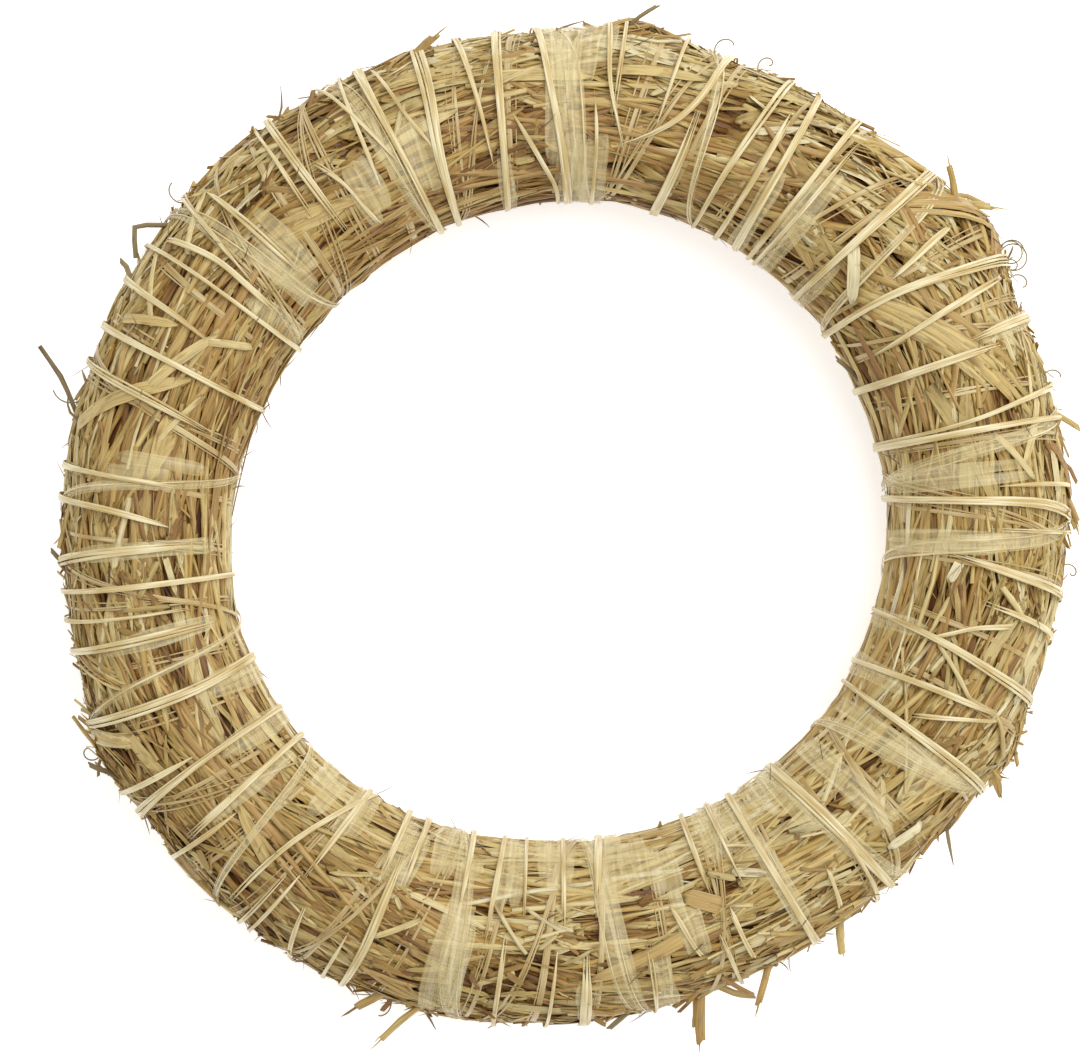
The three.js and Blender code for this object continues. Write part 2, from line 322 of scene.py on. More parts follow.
def leaf_blade():
    """A thin leaf, creased along the middle, with parallel edges and a short tip."""
    obj = rod("leaf_blade", 4, STALK_SEGMENTS)
    reshape(lambda co: co.z > 0.5, size=(1, 1, 0.42))
    reshape(lambda co: co.z < -0.5, size=(1, 1, -0.12))
    reshape(lambda co: co.x > 0.99, size=(1, 0.35, 0.5))
    reshape(lambda co: 0.8 < co.x < 0.9, size=(1, 0.88, 0.9))
    reshape(lambda co: co.x < 0.01, size=(1, 0.8, 0.8))
    return finished(obj)


def fibre():
    """A hair of straw that tapers to a point."""
    obj = rod("fibre", 3, STALK_SEGMENTS)
    reshape(lambda co: co.x > 0.99, size=(1, 0.25, 0.25))
    reshape(lambda co: 0.7 < co.x < 0.9, size=(1, 0.7, 0.7))
    return finished(obj)


CURL_SEGMENTS = 36


def curled_fibre():
    """A hair long enough to be curled: of one thickness to near its end."""
    obj = rod("curled_fibre", 3, CURL_SEGMENTS)
    reshape(lambda co: co.x > 0.99, size=(1, 0.3, 0.3))
    return finished(obj)


class Master:
    """A modelled straw, read as arrays so that copies of it can be bent along their paths."""

    def __init__(self, obj):
        mesh = obj.data
        self.points = np.array([v.co[:] for v in mesh.vertices])
        self.sizes = np.array([len(p.vertices) for p in mesh.polygons])
        self.corners = np.array([i for p in mesh.polygons for i in p.vertices])
        turn = np.arctan2(self.points[:, 2], self.points[:, 1]) / math.tau % 1
        start = 0
        self.uv = np.zeros((len(self.corners), 2))
        for size in self.sizes:
            corners = self.corners[start:start + size]
            v = turn[corners]
            if v.max() - v.min() > 0.5:
                v = np.where(v < 0.5, v + 1, v)
            self.uv[start:start + size, 0] = self.points[corners, 0]
            self.uv[start:start + size, 1] = v
            start += size
        bpy.data.objects.remove(obj, do_unlink=True)


whole, split, blade, hair, curl = (
    Master(make()) for make in (whole_stalk, split_stalk, leaf_blade, fibre, curled_fibre)
)
# Each kind, and how thick it is for its width where it lies over the rest.
KINDS = {"whole": (whole, 0.8), "split": (split, 0.55), "blade": (blade, 0.12), "hair": (hair, 0.8)}

LEVELS = 7  # places that a straw's path is bent at
UPWARDS = np.array([0.0, 0.0, 1.0])
ROUND_WIDTH = 3.1  # how far it is round a straw for its width, on its map
LYING = 0.05  # what touches the table is pressed level just above it
DEEPEST_SHADE = 0.3  # share of the shade that is left deep in the bundle, where the painted shade is darkest
SHADE_DEPTH = 2.9  # how deep the painted shade is darkest
SHADE_REACH = 3.2  # height over which the painted shade lifts
EDGE_PAINTED_SHADE = 0.06  # share of the shade that is lost at the outer edge, as painted shade where the bundle turns away from the light
PRESSED = 2.0  # height over the table of the bundle's surface where it is pressed level


def over_bundle(points):
    """Height over the bundle's surface, which is pressed level underneath, and the place around it."""
    along = np.degrees(np.arctan2(points[:, 1], points[:, 0]))
    reach = np.hypot(points[:, 0], points[:, 1]) - ring_radius(along)
    up = (points[:, 2] - CENTRE_HEIGHT) / BUNDLE_HEIGHT_SHARE
    around = np.degrees(np.arctan2(up, reach))
    height = np.hypot(reach, up) - bundle_radius(along, around)
    return np.maximum(height, PRESSED - points[:, 2]), around


def unit(vectors):
    return vectors / np.maximum(np.linalg.norm(vectors, axis=-1, keepdims=True), 1e-9)


class Straws:
    """Straws laid so far for one piece: bent copies of the masters, with a tone and shade each."""

    def __init__(self):
        self.parts = []

    def lay(self, master, path, up, width, thickness, tone, shade, roll=None):
        """path and up are (straws, levels, 3); width, thickness, tone and shade have one value each. Tone
        and shade also move the pattern along and round the straw, so that no two are alike."""
        count, levels = path.shape[:2]
        along = unit(np.gradient(path, axis=1))
        if roll is not None:
            side = unit(np.cross(up, along))
            turn = roll[:, None, None]
            up = up * np.cos(turn) + side * np.sin(turn)
        side = unit(np.cross(up, along))
        top = np.cross(along, side)
        place = np.clip(master.points[:, 0], 0, 1) * (levels - 1)
        low = np.minimum(place.astype(int), levels - 2)
        share = (place - low)[None, :, None]

        def at(values):
            return values[:, low] * (1 - share) + values[:, low + 1] * share

        co = at(path)
        co = co + at(side) * (master.points[:, 1][None, :] * width[:, None] / 2)[..., None]
        co = co + at(top) * (master.points[:, 2][None, :] * thickness[:, None] / 2)[..., None]
        length = np.linalg.norm(np.diff(path, axis=1), axis=2).sum(axis=1)
        uv = np.empty((count, len(master.corners), 2))
        uv[..., 0] = master.uv[None, :, 0] * length[:, None] + 97 * tone[:, None]
        uv[..., 1] = master.uv[None, :, 1] * width[:, None] * ROUND_WIDTH + 61 * shade[:, None]
        self.parts.append((co, master, uv, tone, shade))

    def lay_one(self, master, path, width, thickness, tone, shade=1.0, up=UPWARDS):
        """Lays a single straw along (levels, 3)."""
        values = (np.array([value]) for value in (width, thickness, tone, shade))
        self.lay(master, path[None], np.broadcast_to(up, path.shape)[None], *values)

    def piece(self, name, material):
        """All of it as one mesh."""
        counts = [len(co) * len(master.points) for co, master, *_ in self.parts]
        starts = np.concatenate([[0], np.cumsum(counts)])
        points = np.concatenate([co.reshape(-1, 3) for co, *_ in self.parts]) * MM
        points[:, 2] = np.maximum(points[:, 2], LYING * MM)
        corners = np.concatenate([
            (master.corners[None, :] + len(master.points) * np.arange(len(co))[:, None] + start).ravel()
            for (co, master, *_), start in zip(self.parts, starts)
        ])
        sizes = np.concatenate([np.tile(master.sizes, len(co)) for co, master, *_ in self.parts])
        uv = np.concatenate([part[2].reshape(-1, 2) for part in self.parts])
        mesh = mesh_of(name, points, corners, sizes, uv)
        tone, shade = (
            np.concatenate([np.repeat(part[index], len(part[1].points)) for part in self.parts])
            for index in (3, 4)
        )
        height, around = over_bundle(points / MM)
        # Painted shade: darker the deeper a point lies in the bundle.
        shade = shade * (DEEPEST_SHADE + (1 - DEEPEST_SHADE) * smooth((height + SHADE_DEPTH) / SHADE_REACH))
        # Painted shade along the outer edge.
        shade = shade * (1 - EDGE_PAINTED_SHADE * np.maximum(0, np.cos(np.radians(around))) ** 6)
        for attribute, values in (("tone", tone), ("shade", shade)):
            layer = mesh.attributes.new(attribute, "FLOAT", "POINT")
            layer.data.foreach_set("value", values.astype(np.float32))
        return placed(name, mesh, material)


SHARPEST = math.radians(115)  # a thin blade's or film's edge turns more than this, and isn't smoothed


def mesh_of(name, points, corners, sizes, uv):
    """A smooth mesh with its map: corners are the faces' vertices in turn, and sizes how many each has."""
    mesh = bpy.data.meshes.new(name)
    mesh.vertices.add(len(points))
    mesh.vertices.foreach_set("co", points.astype(np.float32).ravel())
    mesh.loops.add(len(corners))
    mesh.loops.foreach_set("vertex_index", corners.astype(np.int32))
    mesh.polygons.add(len(sizes))
    mesh.polygons.foreach_set("loop_start", (np.cumsum(sizes) - sizes).astype(np.int32))
    mesh.update(calc_edges=True)
    layer = mesh.uv_layers.new(name="lengthwise")
    layer.data.foreach_set("uv", uv.astype(np.float32).ravel())
    mesh.polygons.foreach_set("use_smooth", np.ones(len(sizes), dtype=bool))
    mesh.validate()
    mesh.set_sharp_from_angle(angle=SHARPEST)
    return mesh


def placed(name, mesh, material):
    """The mesh as an object that rides with the part."""
    obj = bpy.data.objects.new(name, mesh)
    bpy.context.scene.collection.objects.link(obj)
    obj.data.materials.append(material)
    if material is FILM:  # it is too thin and clear to shade the straw or to dim what it throws back
        obj.visible_shadow = obj.visible_diffuse = obj.visible_glossy = False
    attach(obj, "root")
    return obj


# ---------------------------------------------------------------- materials


def rgb(code):
    """An sRGB hex colour as linear RGBA."""
    values = [int(code[i:i + 2], 16) / 255 for i in (1, 3, 5)]
    return [v / 12.92 if v <= 0.04045 else ((v + 0.055) / 1.055) ** 2.4 for v in values] + [1.0]


def add_node(material, kind, links=(), **settings):
    """Adds a node. A setting is a property, an input by its name or number as in_NAME, or the stops of
    a colour ramp as (place, colour). Links are (input, node, output)."""
    tree = material.node_tree
    node = tree.nodes.new(kind)
    for key, value in settings.items():
        if key == "stops":
            elements = node.color_ramp.elements
            while len(elements) < len(value):
                elements.new(0.5)
            for element, (place, colour) in zip(elements, value):
                element.position = place
                element.color = rgb(colour)
        elif key.startswith("in_"):
            name = key[3:].replace("_", " ")
            node.inputs[int(name) if name.isdigit() else name].default_value = value
        else:
            setattr(node, key, value)
    for socket, source, output in links:
        tree.links.new(source.outputs[output], node.inputs[socket])
    return node


def new_material(name):
    material = bpy.data.materials.new(name)
    material.use_nodes = True
    material.node_tree.nodes.clear()
    return material


def lengthwise_noise(material, length, width, detail, roughness=0.5):
    """Noise drawn out along the piece, by its own map: its patches are `length` by `width` millimetres."""
    uv = add_node(material, "ShaderNodeUVMap", uv_map="lengthwise")
    stretch = add_node(material, "ShaderNodeMapping", [(0, uv, 0)], in_Scale=(1 / length, 1 / width, 1))
    return add_node(material, "ShaderNodeTexNoise", [(0, stretch, 0)], in_Scale=1.0, in_Detail=detail,
                    in_Roughness=roughness)


MULTIPLY = {"data_type": "RGBA", "blend_type": "MULTIPLY"}  # settings of a Mix node


def straw_material(name, tones, roughness, gloss):
    """Dry wheat straw, cut and threshed: a waxy skin with fine ribs along the stalk, a tone of its own on
    each stalk, weathered streaks and blotches, and painted shade that darkens it in the depths of the bundle."""
    material = new_material(name)
    streaks = lengthwise_noise(material, 12, 0.5, 3.0, 0.6)
    blotches = lengthwise_noise(material, 9, 6, 4.0)
    tone = add_node(material, "ShaderNodeAttribute", attribute_name="tone")
    shade = add_node(material, "ShaderNodeAttribute", attribute_name="shade")
    colour = add_node(material, "ShaderNodeValToRGB", [(0, tone, "Fac")], stops=tones)
    streak_tint = add_node(material, "ShaderNodeValToRGB", [(0, streaks, 0)],
                           stops=[(0.3, "#8f8f8f"), (0.5, "#dcdcdc"), (0.68, "#ffffff")])
    weathered = add_node(material, "ShaderNodeValToRGB", [(0, blotches, 0)],
                         stops=[(0.55, "#ffffff"), (0.72, "#ae9670")])
    # Painted shade: from dark brown deep in the bundle to near white at the top.
    dust = add_node(material, "ShaderNodeValToRGB", [(0, shade, "Fac")],
                    stops=[(0.0, "#5c3a0c"), (0.35, "#a07832"), (0.75, "#eaddb0"), (1.0, "#fffff8")])
    streaked = add_node(material, "ShaderNodeMix", [(6, colour, 0), (7, streak_tint, 0)],
                        **MULTIPLY, in_0=0.75)
    aged = add_node(material, "ShaderNodeMix", [(6, streaked, 2), (7, weathered, 0)],
                    **MULTIPLY, in_0=0.8)
    depth_shaded = add_node(material, "ShaderNodeMix", [(6, aged, 2), (7, dust, 0)], **MULTIPLY, in_0=1.0)
    rough = add_node(material, "ShaderNodeMapRange", [(0, streaks, 0)],
                     in_3=roughness - 0.12, in_4=roughness + 0.15)
    ribs = add_node(material, "ShaderNodeBump", [("Height", streaks, 0)], in_Strength=0.35,
                    in_Distance=0.25 * MM)
    shader = add_node(material, "ShaderNodeBsdfPrincipled",
                      [("Base Color", depth_shaded, 2), ("Roughness", rough, 0), ("Normal", ribs, 0)],
                      in_IOR=1.48, in_Coat_Weight=gloss, in_Coat_Roughness=0.3)
    add_node(material, "ShaderNodeOutputMaterial", [("Surface", shader, 0)])
    return material


STALK_TONES = [
    (0.0, "#8a6232"), (0.14, "#a87e46"), (0.3, "#bd9556"), (0.5, "#cfae6c"), (0.68, "#dbc07e"),
    (0.84, "#ead49a"), (1.0, "#f6e8c0"),
]
LEAF_TONES = [
    (0.0, "#8a6434"), (0.18, "#a8824a"), (0.4, "#bc9c60"), (0.62, "#cdb476"), (0.82, "#decb94"),
    (1.0, "#eee0b8"),
]
WEATHERED_TONES = [(0.0, "#75634a"), (0.5, "#958361"), (1.0, "#b3a27a")]


def thread_material(name, dark, middle, light):
    """Polypropylene film slit and drawn into a thread: cream, slippery, and fibrous along its length."""
    material = new_material(name)
    strands = lengthwise_noise(material, 20, 0.35, 2.0)
    patches = lengthwise_noise(material, 14, 8, 1.0)
    fine = add_node(material, "ShaderNodeValToRGB", [(0, strands, 0)],
                    stops=[(0.3, dark), (0.48, middle), (0.66, light)])
    stained = add_node(material, "ShaderNodeValToRGB", [(0, patches, 0)],
                       stops=[(0.38, "#d8c494"), (0.62, "#ffffff")])
    colour = add_node(material, "ShaderNodeMix", [(6, fine, 0), (7, stained, 0)], **MULTIPLY, in_0=0.8)
    bump = add_node(material, "ShaderNodeBump", [("Height", strands, 0)], in_Strength=0.3,
                    in_Distance=0.2 * MM)
    shader = add_node(material, "ShaderNodeBsdfPrincipled",
                      [("Base Color", colour, 2), ("Normal", bump, 0)], in_Roughness=0.38, in_IOR=1.49)
    add_node(material, "ShaderNodeOutputMaterial", [("Surface", shader, 0)])
    return material


def film_material():
    """Thin polypropylene film, stretched: see-through cream, with wrinkles drawn out along it."""
    material = new_material("stretched_polypropylene_film")
    wrinkles = lengthwise_noise(material, 25, 1.1, 1.0)
    colour = add_node(material, "ShaderNodeValToRGB", [(0, wrinkles, 0)],
                      stops=[(0.32, "#beac78"), (0.5, "#d4c492"), (0.7, "#eee2ba")])
    bump = add_node(material, "ShaderNodeBump", [("Height", wrinkles, 0)], in_Strength=0.25,
                    in_Distance=0.3 * MM)
    shader = add_node(material, "ShaderNodeBsdfPrincipled",
                      [("Base Color", colour, 0), ("Normal", bump, 0)],
                      in_Roughness=0.45, in_IOR=1.4, in_Alpha=0.26)
    add_node(material, "ShaderNodeOutputMaterial", [("Surface", shader, 0)])
    return material


def core_material():
    """Broken straw deep in the bundle, painted dark brown as the shade there: matt, and uneven in lumps of
    about 3 mm.
    """
    material = new_material("dusty_broken_straw")
    place = add_node(material, "ShaderNodeTexCoord")
    noise = add_node(material, "ShaderNodeTexNoise", [(0, place, "Object")], in_Scale=1 / (3 * MM),
                     in_Detail=5.0)
    colour = add_node(material, "ShaderNodeValToRGB", [(0, noise, 0)],
                      # Painted shade: dark browns for the depths of the bundle.
                      stops=[(0.35, "#543610"), (0.55, "#74511c"), (0.7, "#906c30")])
    bump = add_node(material, "ShaderNodeBump", [("Height", noise, 0)], in_Distance=1.0 * MM)
    shader = add_node(material, "ShaderNodeBsdfPrincipled",
                      [("Base Color", colour, 0), ("Normal", bump, 0)], in_Roughness=0.9)
    add_node(material, "ShaderNodeOutputMaterial", [("Surface", shader, 0)])
    return material


STALK = straw_material("dry_straw_stalk", STALK_TONES, 0.5, 0.12)
LEAF = straw_material("dry_straw_leaf", LEAF_TONES, 0.66, 0.0)
THREAD = thread_material("polypropylene_thread", "#ccb884", "#e2d3a4", "#f2e8c6")
CLEAR_THREAD = thread_material("clear_polypropylene_thread", "#b39c66", "#c8b280", "#d8c698")
WEATHERED = straw_material("weathered_straw", WEATHERED_TONES, 0.6, 0.0)
FILM = film_material()
CORE = core_material()

# ---------------------------------------------------------------- laying straw round the ring

LOWEST = 1.5  # no bundled straw's middle comes nearer to the table


def slant(along, around):
    """The way that the straw leans from straight along the ring, in degrees, which changes slowly."""
    level = np.cos(np.radians(around))
    lean = 10 * drift(along / 20, 18, 11) + 11 * drift(along / 8, 45, 29) * level
    return lean + 8 * drift(along / 5, 72, 3) * level ** 2


def laid_paths(rng, along, around, length, lean, height, stiff, flare, over):
    """Paths of straws that lie on the bundle, through along and around at their middles, and the way
    that they face. They are held under the ceiling, apart from those that run over the binding."""
    count = len(along)
    half = length[:, None] / 2
    run = np.linspace(-1, 1, LEVELS)[None, :] * half
    radius = bundle_radius(along, around)
    reach = ring_radius(along) + radius * np.cos(np.radians(around))
    wobble = rng.normal(0, 0.12, (count, 1)) * np.sin(run * 0.09 + rng.uniform(0, 6, (count, 1)))
    bend = rng.normal(0, 0.0014, (count, 1)) * run ** 2
    a = along[:, None] + np.degrees(run * np.cos(lean)[:, None] / reach[:, None])
    # A stalk is stiff, so it runs straight where the ring bends away: its ends go outwards.
    bow = stiff[:, None] * (run ** 2 - 0.4 * half ** 2) / (2 * reach[:, None])
    sideways = run * np.sin(lean)[:, None] + wobble + bend - bow * np.sin(np.radians(around))[:, None]
    s = around[:, None] + np.degrees(sideways / radius[:, None])
    lift = height[:, None] + bow * np.cos(np.radians(around))[:, None]
    room = 0.35 * (PUFFED - height[:, None]) / PUFFED
    ceiling = straw_ceiling(a, s)
    lift = np.where(over[:, None], lift, np.minimum(lift, ceiling - room))
    free = smooth((ceiling - THREAD_PINCH + 0.6) / (PUFFED - THREAD_PINCH))
    ends = np.abs(run / half) ** 4 * np.where(run > 0, 1, 0.3)
    lift = lift + ends * free * flare[:, None]
    path = on_bundle(a, s, lift)
    path[..., 2] = np.maximum(path[..., 2], LOWEST + 0.9 * rng.random(count)[:, None])
    return path, outwards(a, s)


# Painted light on the straw's tone: how much lighter the outside, the +X side and the flanks are made.
OUTSIDE_LIGHTER, RIGHT_LIGHTER, FLANKS_LIGHTER = 0.22, 0.1, 0.2


def painted_light_tone(along, around):
    """How much lighter the straw's tone is made by painted light: most on the flanks, outside at +Y, inside
    at -Y, and at +X, where the light falls."""
    level = np.cos(np.radians(around))
    outside = OUTSIDE_LIGHTER * (0.3 + np.sin(np.radians(along))) * level
    return outside + RIGHT_LIGHTER * np.cos(np.radians(along)) + FLANKS_LIGHTER * level ** 2 - 0.03


def spread_over_ring(rng, count):
    """Places spread evenly over the bundle's surface, which is longer round the outside."""
    longest = RING_RADIUS + BUNDLE_RADIUS
    along, around = [], []
    while len(along) < count:
        a, s = rng.uniform(0, 360), rng.uniform(0, 360)
        if rng.random() * longest < RING_RADIUS + BUNDLE_RADIUS * math.cos(math.radians(s)):
            along.append(a)
            around.append(s)
    return np.array(along), np.array(around)


def straw_layer(straws, rng, master, count, heights, widths, lengths, flatness, shades, tones,
                over_share=0.0, lean_spread=6.0, places=None):
    """Lays straws, spread over the whole ring unless their places are given. Pairs are the least and the
    most, apart from tones, which is the middle and the spread."""
    along, around = places or spread_over_ring(rng, count)
    length = rng.uniform(*lengths, count)
    lean = slant(along, around) + rng.normal(0, lean_spread, count)
    lean = lean + np.where(rng.random(count) < 0.15, rng.normal(0, 20, count), 0)
    lean = np.radians(lean + np.where(rng.random(count) < 0.5, 180, 0))
    height = rng.uniform(*heights, count)
    stiff = rng.uniform(0.3, 0.9, count)
    flare = np.where(rng.random(count) < 0.3, rng.uniform(0.3, 1.8, count), 0)
    over = rng.random(count) < over_share
    path, up = laid_paths(rng, along, around, length, lean, height, stiff, flare, over)
    width = widths[0] + (widths[1] - widths[0]) * rng.beta(1.4, 2.2, count)
    # Painted shade: the lower a straw lies in its layer, the darker.
    share = (height - heights[0]) / (heights[1] - heights[0])
    shade = np.clip(shades[0] + (shades[1] - shades[0]) * share + rng.normal(0, 0.06, count), 0, 1)
    patchy = 0.13 * drift(along / 8, 45, 71)
    patchy = patchy + 0.1 * drift(along / 5, 72, 19) * np.cos(np.radians(2 * around))
    # patchy differs at random; the rest is painted light.
    tone = np.clip(rng.normal(*tones, count) + patchy + painted_light_tone(along, around), 0, 1)
    roll = rng.normal(0, 0.3, count)
    straws.lay(master, path, up, width, width * rng.uniform(*flatness, count), tone, shade, roll)


CORE_DEPTH = 3.2
CORE_CLEARANCE = 1.4  # above the straw that is pressed level underneath


def straw_core():
    """The dark inside of the bundle, which shows only between the stalks: its dark brown is painted shade."""
    deselect()
    bpy.ops.mesh.primitive_torus_add(
        major_segments=180, minor_segments=24, major_radius=RING_RADIUS * MM,
        minor_radius=(BUNDLE_RADIUS - 3) * MM, location=(0, 0, 0)
    )
    obj = bpy.context.object
    obj.name = "straw_core"
    points = np.array([v.co[:] for v in obj.data.vertices])
    along = np.degrees(np.arctan2(points[:, 1], points[:, 0])) % 360
    reach = np.hypot(points[:, 0], points[:, 1]) / MM - RING_RADIUS
    around = np.degrees(np.arctan2(points[:, 2] / MM, reach)) % 360
    rough = 0.5 * scatter(np.arange(len(points)))
    moved = on_bundle(along, around, rough - CORE_DEPTH + 0.5 * straw_ceiling(along, around))
    moved[:, 2] = np.maximum(moved[:, 2], PRESSED + CORE_CLEARANCE)
    obj.data.vertices.foreach_set("co", (moved * MM).astype(np.float32).ravel())
    obj.data.update()
    obj.data.materials.append(CORE)
    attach(obj, "root")
    return obj


# Where straw is broken short and lies across: along, around, and how many.
BROKEN = (
    (250, 48, 30), (262, 62, 26), (226, 46, 26), (205, 34, 16), (131, 60, 28), (66, 66, 28), (310, 66, 18),
    (296, 100, 14), (322, 86, 16), (20, 60, 16), (352, 60, 14), (190, 92, 26), (184, 110, 18), (50, 110, 20),
    (37, 70, 22), (94, 120, 16), (118, 78, 14), (270, 96, 14), (340, 92, 12), (243, 90, 14),
)


def broken_places(rng):
    """Where each broken straw lies: along, and around."""
    counts = [count for *_, count in BROKEN]
    at = np.repeat(np.array([place for *place, _ in BROKEN], dtype=float), counts, axis=0)
    return at[:, 0] + rng.normal(0, 2.6, len(at)), at[:, 1] + rng.normal(0, 9, len(at))


# The bundled straw from the deepest layer to the topmost. For each piece its material, and for each kind
# in it how many, and the heights, widths, lengths, flatness, shades and tones as straw_layer takes them.
# Where they are given, the share that runs over the binding and the spread of the lean come last.
# The shades are painted shade: the deeper layers are darker.
LAYERS = {
    "straw_deep_layer": (LEAF, (
        (blade, 1300, (-2.6, -1.2), (1.6, 4.0), (35, 90), (0.3, 0.5), (0.2, 0.55), (0.35, 0.2)),
    )),
    "straw_middle_layer": (STALK, (
        (split, 1100, (-1.6, -0.3), (1.2, 2.8), (35, 90), (0.4, 0.7), (0.5, 0.85), (0.45, 0.22)),
        (whole, 700, (-1.6, -0.3), (1.0, 2.2), (35, 90), (0.7, 1.0), (0.5, 0.85), (0.5, 0.2)),
    )),
    "straw_upper_layer": (STALK, (
        (split, 1000, (-0.9, 0.8), (1.1, 2.8), (36, 95), (0.35, 0.6), (0.8, 1.0), (0.55, 0.2), 0, 8),
        (whole, 850, (-0.9, 0.8), (1.0, 2.3), (36, 95), (0.6, 0.9), (0.8, 1.0), (0.6, 0.2), 0, 8),
    )),
    "straw_leaves_and_slivers": (LEAF, (
        (blade, 700, (-0.8, 0.9), (1.3, 3.8), (20, 65), (0.14, 0.3), (0.8, 1.0), (0.6, 0.2), 0, 9),
        (blade, 70, (0.5, 1.0), (3.0, 5.4), (30, 70), (0.08, 0.14), (0.85, 1.0), (0.68, 0.16), 0, 9),
        (hair, 1900, (-0.6, 1.1), (0.4, 1.0), (15, 50), (0.7, 1.0), (0.7, 1.0), (0.55, 0.25), 0.04, 9),
    )),
    "straw_chaff": (LEAF, (
        (blade, 700, (-0.6, 1.0), (0.6, 2.2), (3, 10), (0.3, 0.6), (0.6, 1.0), (0.5, 0.28), 0.05, 40),
    )),
}


def straw_layers():
    """The bundled straw, with the straw that is broken short among the chaff."""
    rng = np.random.default_rng(11)
    layers = {name: Straws() for name in LAYERS}
    for name, (_, rows) in LAYERS.items():
        for master, *row in rows:
            straw_layer(layers[name], rng, master, *row)
    for master, widths, flatness in ((split, (0.9, 2.2), (0.4, 0.7)), (blade, (1.2, 3.0), (0.2, 0.4))):
        places = broken_places(rng)
        straw_layer(layers["straw_chaff"], rng, master, len(places[0]), (-0.4, 0.9), widths, (5, 15),
                    flatness, (0.7, 1.0), (0.55, 0.26), 0.3, 26, places)
    return [straws.piece(name, LAYERS[name][0]) for name, straws in layers.items()]


# ---------------------------------------------------------------- the binding


PRESSED_BINDING = 1.1  # height over the table of the lowest thread where it is pressed level
PRESSED_STEP = 0.35  # how much lower a layer of the binding lies there, for each millimetre further out
BINDING_CLEARANCE = 0.12


def swept(along, around, height, width, profile, closed=True, shift=0.0):
    """Sweeps a closed profile of (across, up) pairs along a route on the bundle. across goes from -1 to 1
    and is scaled by the width there; up is in millimetres. An open sweep has its ends filled. shift
    moves the pattern, so that strands side by side differ."""
    centre = on_bundle(along, around, height)
    centre[:, 2] = np.maximum(centre[:, 2], PRESSED_BINDING - PRESSED_STEP * height)
    if closed:
        run = unit(np.roll(centre, -1, axis=0) - np.roll(centre, 1, axis=0))
    else:
        run = unit(np.gradient(centre, axis=0))
    out = outwards(along, around)
    side = unit(np.cross(out, run))
    profile = np.array(profile, dtype=float)
    places, count = len(along), len(profile)
    half = (width / 2)[:, None]
    points = (
        centre[:, None, :]
        + side[:, None, :] * (half * profile[None, :, 0])[..., None]
        + out[:, None, :] * np.broadcast_to(profile[None, :, 1], (places, count))[..., None]
    )
    points[..., 2] = np.maximum(points[..., 2], BINDING_CLEARANCE)
    steps = places if closed else places - 1
    here = np.arange(steps)[:, None] * count
    after = (here + count) % (places * count)
    p = np.arange(count)[None, :]
    q = np.roll(p, -1, axis=1)
    corners = np.stack([here + p, here + q, after + q, after + p], -1).reshape(-1)
    sizes = np.full(steps * count, 4)
    step = np.linalg.norm(np.diff(centre, axis=0), axis=1)
    distance = np.concatenate([[0], np.cumsum(step), [step.sum() + step[-1]]])
    start, end = distance[:steps], distance[1:steps + 1]
    across, next_across = profile[:, 0], np.roll(profile[:, 0], -1)
    u = np.stack([start, start, end, end], -1)
    v = np.stack([across, next_across, next_across, across], -1)
    uv = np.stack(np.broadcast_arrays(u[:, None, :], v[None, :, :] * half[:steps, :, None]), -1)
    uv = uv.reshape(-1, 2) + np.array([7.3, 2.1]) * shift
    if not closed:
        far_end = (places - 1) * count
        corners = np.concatenate([corners, np.arange(count)[::-1], np.arange(count) + far_end])
        sizes = np.concatenate([sizes, [count, count]])
        uv = np.concatenate([uv, np.zeros((2 * count, 2))])
    return points.reshape(-1, 3) * MM, corners, sizes, uv


def winding(route, turns, steps):
    """The places of a binding that goes round `turns` times: along, around and the turn's number."""
    around = np.arange(steps) * (360 / steps)
    along = np.concatenate([route(turn, around) for turn in range(turns)])
    return along, np.tile(around, turns), np.repeat(np.arange(turns), steps)


def swept_piece(name, parts, material):
    """All that was swept, as one piece."""
    points, corners, sizes, uv = zip(*parts)
    starts = np.cumsum([0] + [len(part) for part in points[:-1]])
    corners = [part + start for part, start in zip(corners, starts)]
    mesh = mesh_of(name, *(np.concatenate(kind) for kind in (points, corners, sizes, uv)))
    return placed(name, mesh, material)


THREAD_PROFILE = [
    (1, 0), (0.66, 0.22), (0.3, 0.16), (0, 0.26), (-0.36, 0.18), (-0.7, 0.24), (-1, 0), (0, -0.12),
]
FILAMENT_PROFILE = [(1, 0), (0, 0.14), (-1, 0)]
THREAD_STEPS = 40  # places in a turn
FILM_STEPS = 60
THREAD_WIDTH = 1.2


def thread_piece(name, route, turns, seed, height):
    """One thread of several filaments: a ribbed ribbon, and finer filaments that wander beside it."""
    along, around, turn = winding(route, turns, THREAD_STEPS)
    place = turn + around / 360
    widths = THREAD_WIDTH * (1 + 0.3 * drift(along / 3.7, 97, seed))
    widths = widths * (1 + 0.45 * scatter(np.round(place) + seed))
    heights = np.full(len(along), height) + 0.12 * drift(along / 2.1, 171, seed + 3)
    parts = [swept(along, around, heights, widths, THREAD_PROFILE)]
    for strand in range(2):
        wander = 1.3 * drift(place * 2, 2 * turns, seed + 7 * strand)
        fine = 0.42 + 0.15 * drift(along / 5, 72, seed + strand)
        parts.append(swept(along + wander, around, heights + 0.1, fine, FILAMENT_PROFILE))
    return swept_piece(name, parts, CLEAR_THREAD)


# Heights of the binding's layers above the bundle, from the two threads out.
FIRST_THREAD_HEIGHT = 0.25
SECOND_THREAD_HEIGHT = 0.6
FILM_HEIGHT = 1.35
CREASE_HEIGHT = 1.55
SHEET_HEIGHT = 1.65
OVERLAID_HEIGHT = 1.95
LAP = 0.1  # what a strip that laps over its neighbours is raised by

GATHERED = 0.65  # share of its full width that the film is gathered into
STRIP_PROFILE = [
    (1, 0), (0.72, 0.07), (0.4, 0.01), (0.1, 0.08), (-0.3, 0.02), (-0.7, 0.07), (-1, 0), (-0.3, -0.05),
    (0.4, -0.05),
]


